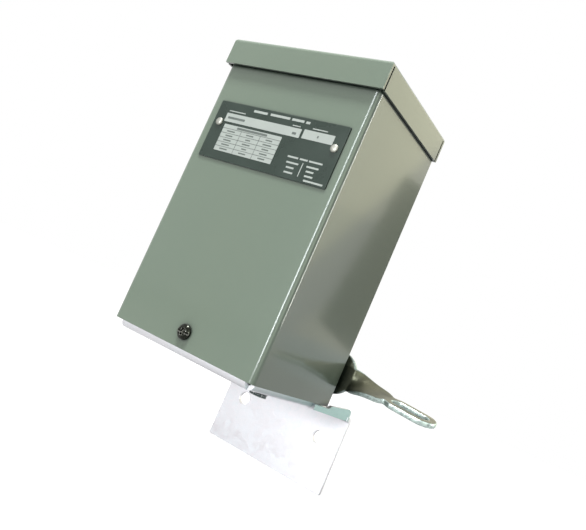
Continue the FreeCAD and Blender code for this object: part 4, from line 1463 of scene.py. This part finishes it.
@dataclass
class FloatLever:
    """Quarter-twisted strap lever with its shaft, collar, washer and nut."""

    hub_radius: float = 12.8 * MM
    hub_offset: float = 3.4 * MM
    bore_radius: float = 3.4 * MM
    width: float = 14.2 * MM
    sheet: float = 3.0 * MM
    edge: float = 0.75 * MM
    rim_start: float = 0.12
    droop: float = 4.1
    twist_start: float = 15.0 * MM
    twist_end: float = 39.6 * MM
    first_twist: float = 63.0
    last_twist: float = 15.0
    first_power: int = 3
    last_power: int = 8
    neck_gap: float = 1.5 * MM
    fillet: float = 3 * MM
    eye_width: float = 18.2 * MM
    slot_width: float = 8.4 * MM
    eye_first: float = 46.6 * MM
    eye_last: float = 61.0 * MM
    shoulder: float = 3.6 * MM
    slice_step: float = 0.7 * MM
    cut_gap: float = 1e-7
    sharp_angle: float = 50

    def build(self) -> None:
        """Make the lever and its fixings, and dress the shaft."""
        adopt(self.strap(), "lever", Finish.LEVER_STEEL, ["lever_arm"])
        for node, name, soften in (("lever_nut", "shaft_nut", 0.25 * MM),
                                   ("lever_washer", "shaft_washer", 0.15 * MM),
                                   ("shaft_spacer", "shaft_collar", 0.2 * MM)):
            adopt(softened_copy(node, name, soften), "lever",
                  Finish.PLATED, [node])
        dress(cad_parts["pivot_shaft"], Finish.SHAFT)

    def outline(self) -> list[Vector]:
        """Outline of the flat blank, from the pivot along X.

        Returns:
            Points of the outline, counter-clockwise.
        """
        half, radius = self.width / 2, self.eye_width / 2
        neck = self.twist_end + self.neck_gap
        wide = neck + self.shoulder
        tip = self.eye_last + radius
        meet = self.hub_offset + math.sqrt(self.hub_radius ** 2 - half ** 2)
        start = math.atan2(half, meet - self.hub_offset)
        disc = arc(self.hub_offset, self.hub_radius, start, 2 * math.pi - 2 * start, steps=40)
        fillet, round_end = self.fillet, radius * NEARLY_ROUND
        rest = closed_outline([(meet, -half, 0), (neck, -half, fillet), (wide, -radius, fillet),
                               (tip, -radius, round_end), (tip, radius, round_end),
                               (wide, radius, fillet), (neck, half, fillet),
                               (meet, half, 0)], steps=14)
        return disc + rest[1:-1]

    def strap(self) -> bpy.types.Object:
        """The lever as one smooth mesh, on its shaft.

        Returns:
            The strap object.
        """
        slot_half = self.slot_width / 2
        slot = rounded_box(self.eye_first - slot_half, self.eye_last + slot_half, slot_half,
                           slot_half * NEARLY_ROUND, steps=12)
        bore = arc(0.0, self.bore_radius, 0.0, 2 * math.pi, steps=32)[:-1]
        piece = plate_mesh("lever_strap", self.outline(), [slot, bore], self.sheet, self.edge)
        with editing(piece.data) as work:
            bmesh.ops.remove_doubles(work, verts=work.verts, dist=SAME_POINT)
            self.slice(work)
            # Mark the edge band that the material paints light as a highlight.
            lit_edge = work.verts.layers.float.new("lit_edge")
            flat = self.sheet / 2 - self.edge * self.rim_start
            for vertex in work.verts:
                vertex[lit_edge] = 1.0 if abs(vertex.co.z) < flat else 0.0
                vertex.co = self.twisted(vertex.co)
            bmesh.ops.recalc_face_normals(work, faces=work.faces)
            for face in work.faces:
                face.smooth = True
        piece.data.set_sharp_from_angle(angle=math.radians(self.sharp_angle))
        low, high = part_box("lever_washer")
        pivot = Vector(((low.x + high.x) / 2, low.y - self.sheet / 2, (low.z + high.z) / 2))
        piece.data.transform(Matrix.Translation(pivot)
                             @ Matrix.Rotation(math.radians(self.droop), 4, "Y"))
        return piece

    def slice(self, work: bmesh.types.BMesh) -> None:
        """Cut the flat blank across wherever it is going to twist.

        Args:
            work: the blank, which gets the cuts.
        """
        stop = self.twist_end + self.slice_step
        place = self.twist_start - self.slice_step
        while place < stop:
            bmesh.ops.bisect_plane(work, geom=work.verts[:] + work.edges[:] + work.faces[:],
                                   plane_co=(place, 0, 0), plane_no=(1, 0, 0),
                                   dist=self.cut_gap)
            place += self.slice_step

    def twisted(self, point: Vector) -> Vector:
        """Place of a blank's point after the twist.

        Args:
            point: along the lever, across it and through it.

        Returns:
            The point with the strap's width upright at the root.
        """
        share = (point.x - self.twist_start) / (self.twist_end - self.twist_start)
        gone = max(0.0, min(1.0, share))
        turn = math.radians(self.first_twist * (1 - (1 - gone) ** self.first_power)
                            + self.last_twist * gone ** self.last_power)
        across, through = point.y, -point.z
        return Vector((point.x, through * math.cos(turn) + across * math.sin(turn),
                       across * math.cos(turn) - through * math.sin(turn)))


@dataclass
class Mechanism:
    """Everything inside the box: CAD solids that only need their finishes."""

    spring_foot: tuple[float, float, float] = (-0.0117, -0.0359, 0.0265)
    spring_keep: float = 0.5

    def build(self) -> None:
        """Dress each solid, and give the return spring a mesh of its own."""
        finishes = {
            "mechanism_frame": Finish.INNER_SHEET, "frame_rivets": Finish.RIVET,
            "stop_pins": Finish.SHAFT, "drive_arm": Finish.PLATED, "roll_pin": Finish.SPRING,
            "drive_pin": Finish.SHAFT, "contact_rocker": Finish.PHENOLIC,
            "rocker_pin": Finish.SHAFT, "rocker_spacers": Finish.PLATED,
            "contact_bridges": Finish.BRASS, "contact_springs": Finish.SPRING,
            "return_spring": Finish.SPRING, "contact_block": Finish.PHENOLIC,
            "fixed_contacts": Finish.BRASS, "terminal_screws": Finish.PLATED,
            "block_screws": Finish.PLATED, "rear_bush": Finish.BRONZE,
            "front_bush": Finish.BRONZE,
        }
        for node, finish in finishes.items():
            dress(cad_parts[node], finish)
            log.info("%s gets %s", node, finish.value.name)
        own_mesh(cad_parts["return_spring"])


# ---------------------------------------------------------------- studio
def aimed(place: Point, target: Point, roll: float = 0.0) -> Matrix:
    """Matrix of a light or camera that looks at a point.

    Args:
        place: where it stands.
        target: what it looks at.
        roll: turn about its line of sight, in degrees.

    Returns:
        The matrix.
    """
    aim = (Vector(target) - Vector(place)).to_track_quat("-Z", "Y")
    spin = Quaternion((0, 0, 1), math.radians(roll))
    return Matrix.Translation(place) @ (aim @ spin).to_matrix().to_4x4()


@dataclass(frozen=True)
class SoftLight:
    """One square soft light."""

    name: str
    place: Point
    target: Point
    side: float
    power: float
    colour: Point = (1.0, 1.0, 1.0)

    def build(self) -> None:
        """Add the light to the scene."""
        lamp = bpy.data.lights.new(self.name, "AREA")
        lamp.shape = "SQUARE"
        lamp.size = self.side
        lamp.energy = self.power
        lamp.color = self.colour
        new_object(self.name, lamp).matrix_world = aimed(self.place, self.target)


@dataclass(frozen=True)
class Card:
    """Upright coloured card beside the switch that only glossy faces see."""

    name: str
    place: Point
    width: float
    height: float
    lean: float
    colour: Colour

    def build(self) -> None:
        """Add the card; it neither lights nor shades anything matt."""
        mesh = bpy.data.meshes.new(self.name)
        with editing(mesh) as work:
            bmesh.ops.create_grid(work, x_segments=1, y_segments=1, size=0.5)
        mesh.transform(Matrix.Translation(self.place)
                       @ Matrix.Rotation(math.radians(self.lean), 4, "Y")
                       @ Matrix.Rotation(QUARTER_TURN, 4, "X")
                       @ Matrix.Diagonal((self.width, self.height, 1, 1)))
        card = new_object(self.name, mesh)
        sheet = FinishSheet(self.name + "_paint")
        sheet.give({"Base Color": (0, 0, 0, 1), "Specular IOR Level": 0.0,
                    "Emission Color": self.colour, "Emission Strength": 1.0})
        mesh.materials.append(sheet.material)
        card.visible_camera = False
        card.visible_diffuse = False
        card.visible_shadow = False
        card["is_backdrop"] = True


@dataclass
class Studio:
    """Pale floor, soft lights, cards, white surroundings and the camera."""

    camera_place: Point = (0.21167, -0.37799, 0.04794)
    camera_target: Point = (-0.0079, -0.04587, 0.08651)
    camera_roll: float = 23.79
    focal_length: float = 42.05
    sensor: float = 36.0
    nearest: float = 0.01
    floor_reach: float = 4.0
    floor_colour: Colour = (0.28, 0.28, 0.28, 1)
    world_level: float = 0.23
    floor_lift: float = 0.92
    mirrored_lift: float = 0.6

    def build(self) -> None:
        """Make the surroundings."""
        self.world()
        self.floor()
        self.camera()
        for item in (
                SoftLight("key_light", place=(-0.33, -0.74, 2.45), target=(0.0, -0.06, 0.08),
                          side=0.42, power=81.0),
                SoftLight("front_light", place=(-0.10, -1.50, 0.05), target=(0.0, -0.06, 0.02),
                          side=0.28, power=8.6),
                SoftLight("warm_light", place=(0.60, 0.95, 0.66), target=(0.03, -0.06, 0.14),
                          side=0.6, power=0.6, colour=(1.0, 0.90, 0.60)),
                Card("glow_card", place=(1.04, 1.02, 0.85), width=1.3, height=1.1, lean=47.0,
                     colour=(1.95, 1.93, 1.46, 1)),
                Card("warm_card", place=(0.02, 1.02, 0.10), width=1.5, height=1.1, lean=47.0,
                     colour=(1.36, 1.32, 1.12, 1)),
                Card("dark_card", place=(0.565, 1.0, 0.28), width=0.20, height=0.40,
                     lean=-14.0, colour=(0.01, 0.01, 0.005, 1)),
                Card("low_card", place=(0.66, 1.0, -0.05), width=0.34, height=0.22, lean=0.0,
                     colour=(0.95, 1.05, 1.08, 1)),
                Card("left_strip", place=(-0.02, -1.20, 0.30), width=0.40, height=0.72,
                     lean=0.0, colour=(12.5, 13.0, 13.4, 1)),
                Card("right_strip", place=(1.00, 0.60, 0.36), width=0.46, height=0.78,
                     lean=0.0, colour=(13.0, 13.0, 12.0, 1)),
                Card("corner_card", place=(1.10, -0.62, 0.36), width=1.3, height=0.9,
                     lean=0.0, colour=(2.3, 2.5, 2.1, 1)),
                Card("lip_card", place=(0.62, 0.32, -0.06), width=0.34, height=0.24,
                     lean=0.0, colour=(0.06, 0.17, 0.17, 1))):
            item.build()

    def world(self) -> None:
        """White surroundings: plain white where seen or mirrored, dimmer as light."""
        world = bpy.data.worlds.new("surroundings")
        world.use_nodes = True
        bpy.context.scene.world = world
        sheet = Sheet(world.node_tree)
        sheet.tree.nodes.clear()
        path = sheet.node("ShaderNodeLightPath")
        mirrored = sheet.number(path, "Is Glossy Ray")
        through = sheet.number(path, "Is Transmission Ray")
        seen = (sheet.number(path, "Is Camera Ray").math("MAXIMUM", mirrored)
                .math("MAXIMUM", through))
        strength = seen * (1 - self.world_level) + self.world_level
        back = sheet.node("ShaderNodeBackground", {"Color": WHITE, "Strength": strength})
        output = sheet.node("ShaderNodeOutputWorld")
        sheet.tree.links.new(back.outputs[0], output.inputs["Surface"])

    def floor(self) -> None:
        """Round pale floor under the flange that keeps the shadow."""
        mesh = bpy.data.meshes.new("floor")
        with editing(mesh) as work:
            bmesh.ops.create_circle(work, cap_ends=True, segments=96, radius=self.floor_reach)
        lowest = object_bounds()[0][2]
        mesh.transform(Matrix.Translation((0, 0, lowest)))
        floor = new_object("floor", mesh)
        sheet = FinishSheet("pale_floor")
        path = sheet.node("ShaderNodeLightPath")
        mirrored = sheet.number(path, "Is Glossy Ray") * self.mirrored_lift
        seen = sheet.number(path, "Is Camera Ray").math("MAXIMUM", mirrored)
        sheet.give({"Base Color": self.floor_colour, "Roughness": 1.0,
                    "Specular IOR Level": 0.0, "Emission Color": WHITE,
                    "Emission Strength": seen * self.floor_lift})
        mesh.materials.append(sheet.material)
        floor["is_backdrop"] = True

    def camera(self) -> None:
        """Camera from the right and a little below the box's middle, rolled to one side."""
        lens = bpy.data.cameras.new("camera")
        lens.sensor_width = self.sensor
        lens.lens = self.focal_length
        lens.clip_start = self.nearest
        holder = new_object("camera", lens)
        holder.matrix_world = aimed(self.camera_place, self.camera_target, self.camera_roll)
        bpy.context.scene.camera = holder


def main() -> None:
    """Build every sub-assembly."""
    logging.basicConfig(level=logging.INFO, format="%(name)s: %(message)s")
    bpy.context.scene.view_settings.view_transform = "Standard"
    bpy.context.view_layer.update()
    for assembly in (Enclosure(), Nameplate(), FloatLever(), Mechanism(), Studio()):
        log.info("building %s", type(assembly).__name__)
        assembly.build()
    bpy.context.view_layer.update()


if __name__ == "__main__":
    main()
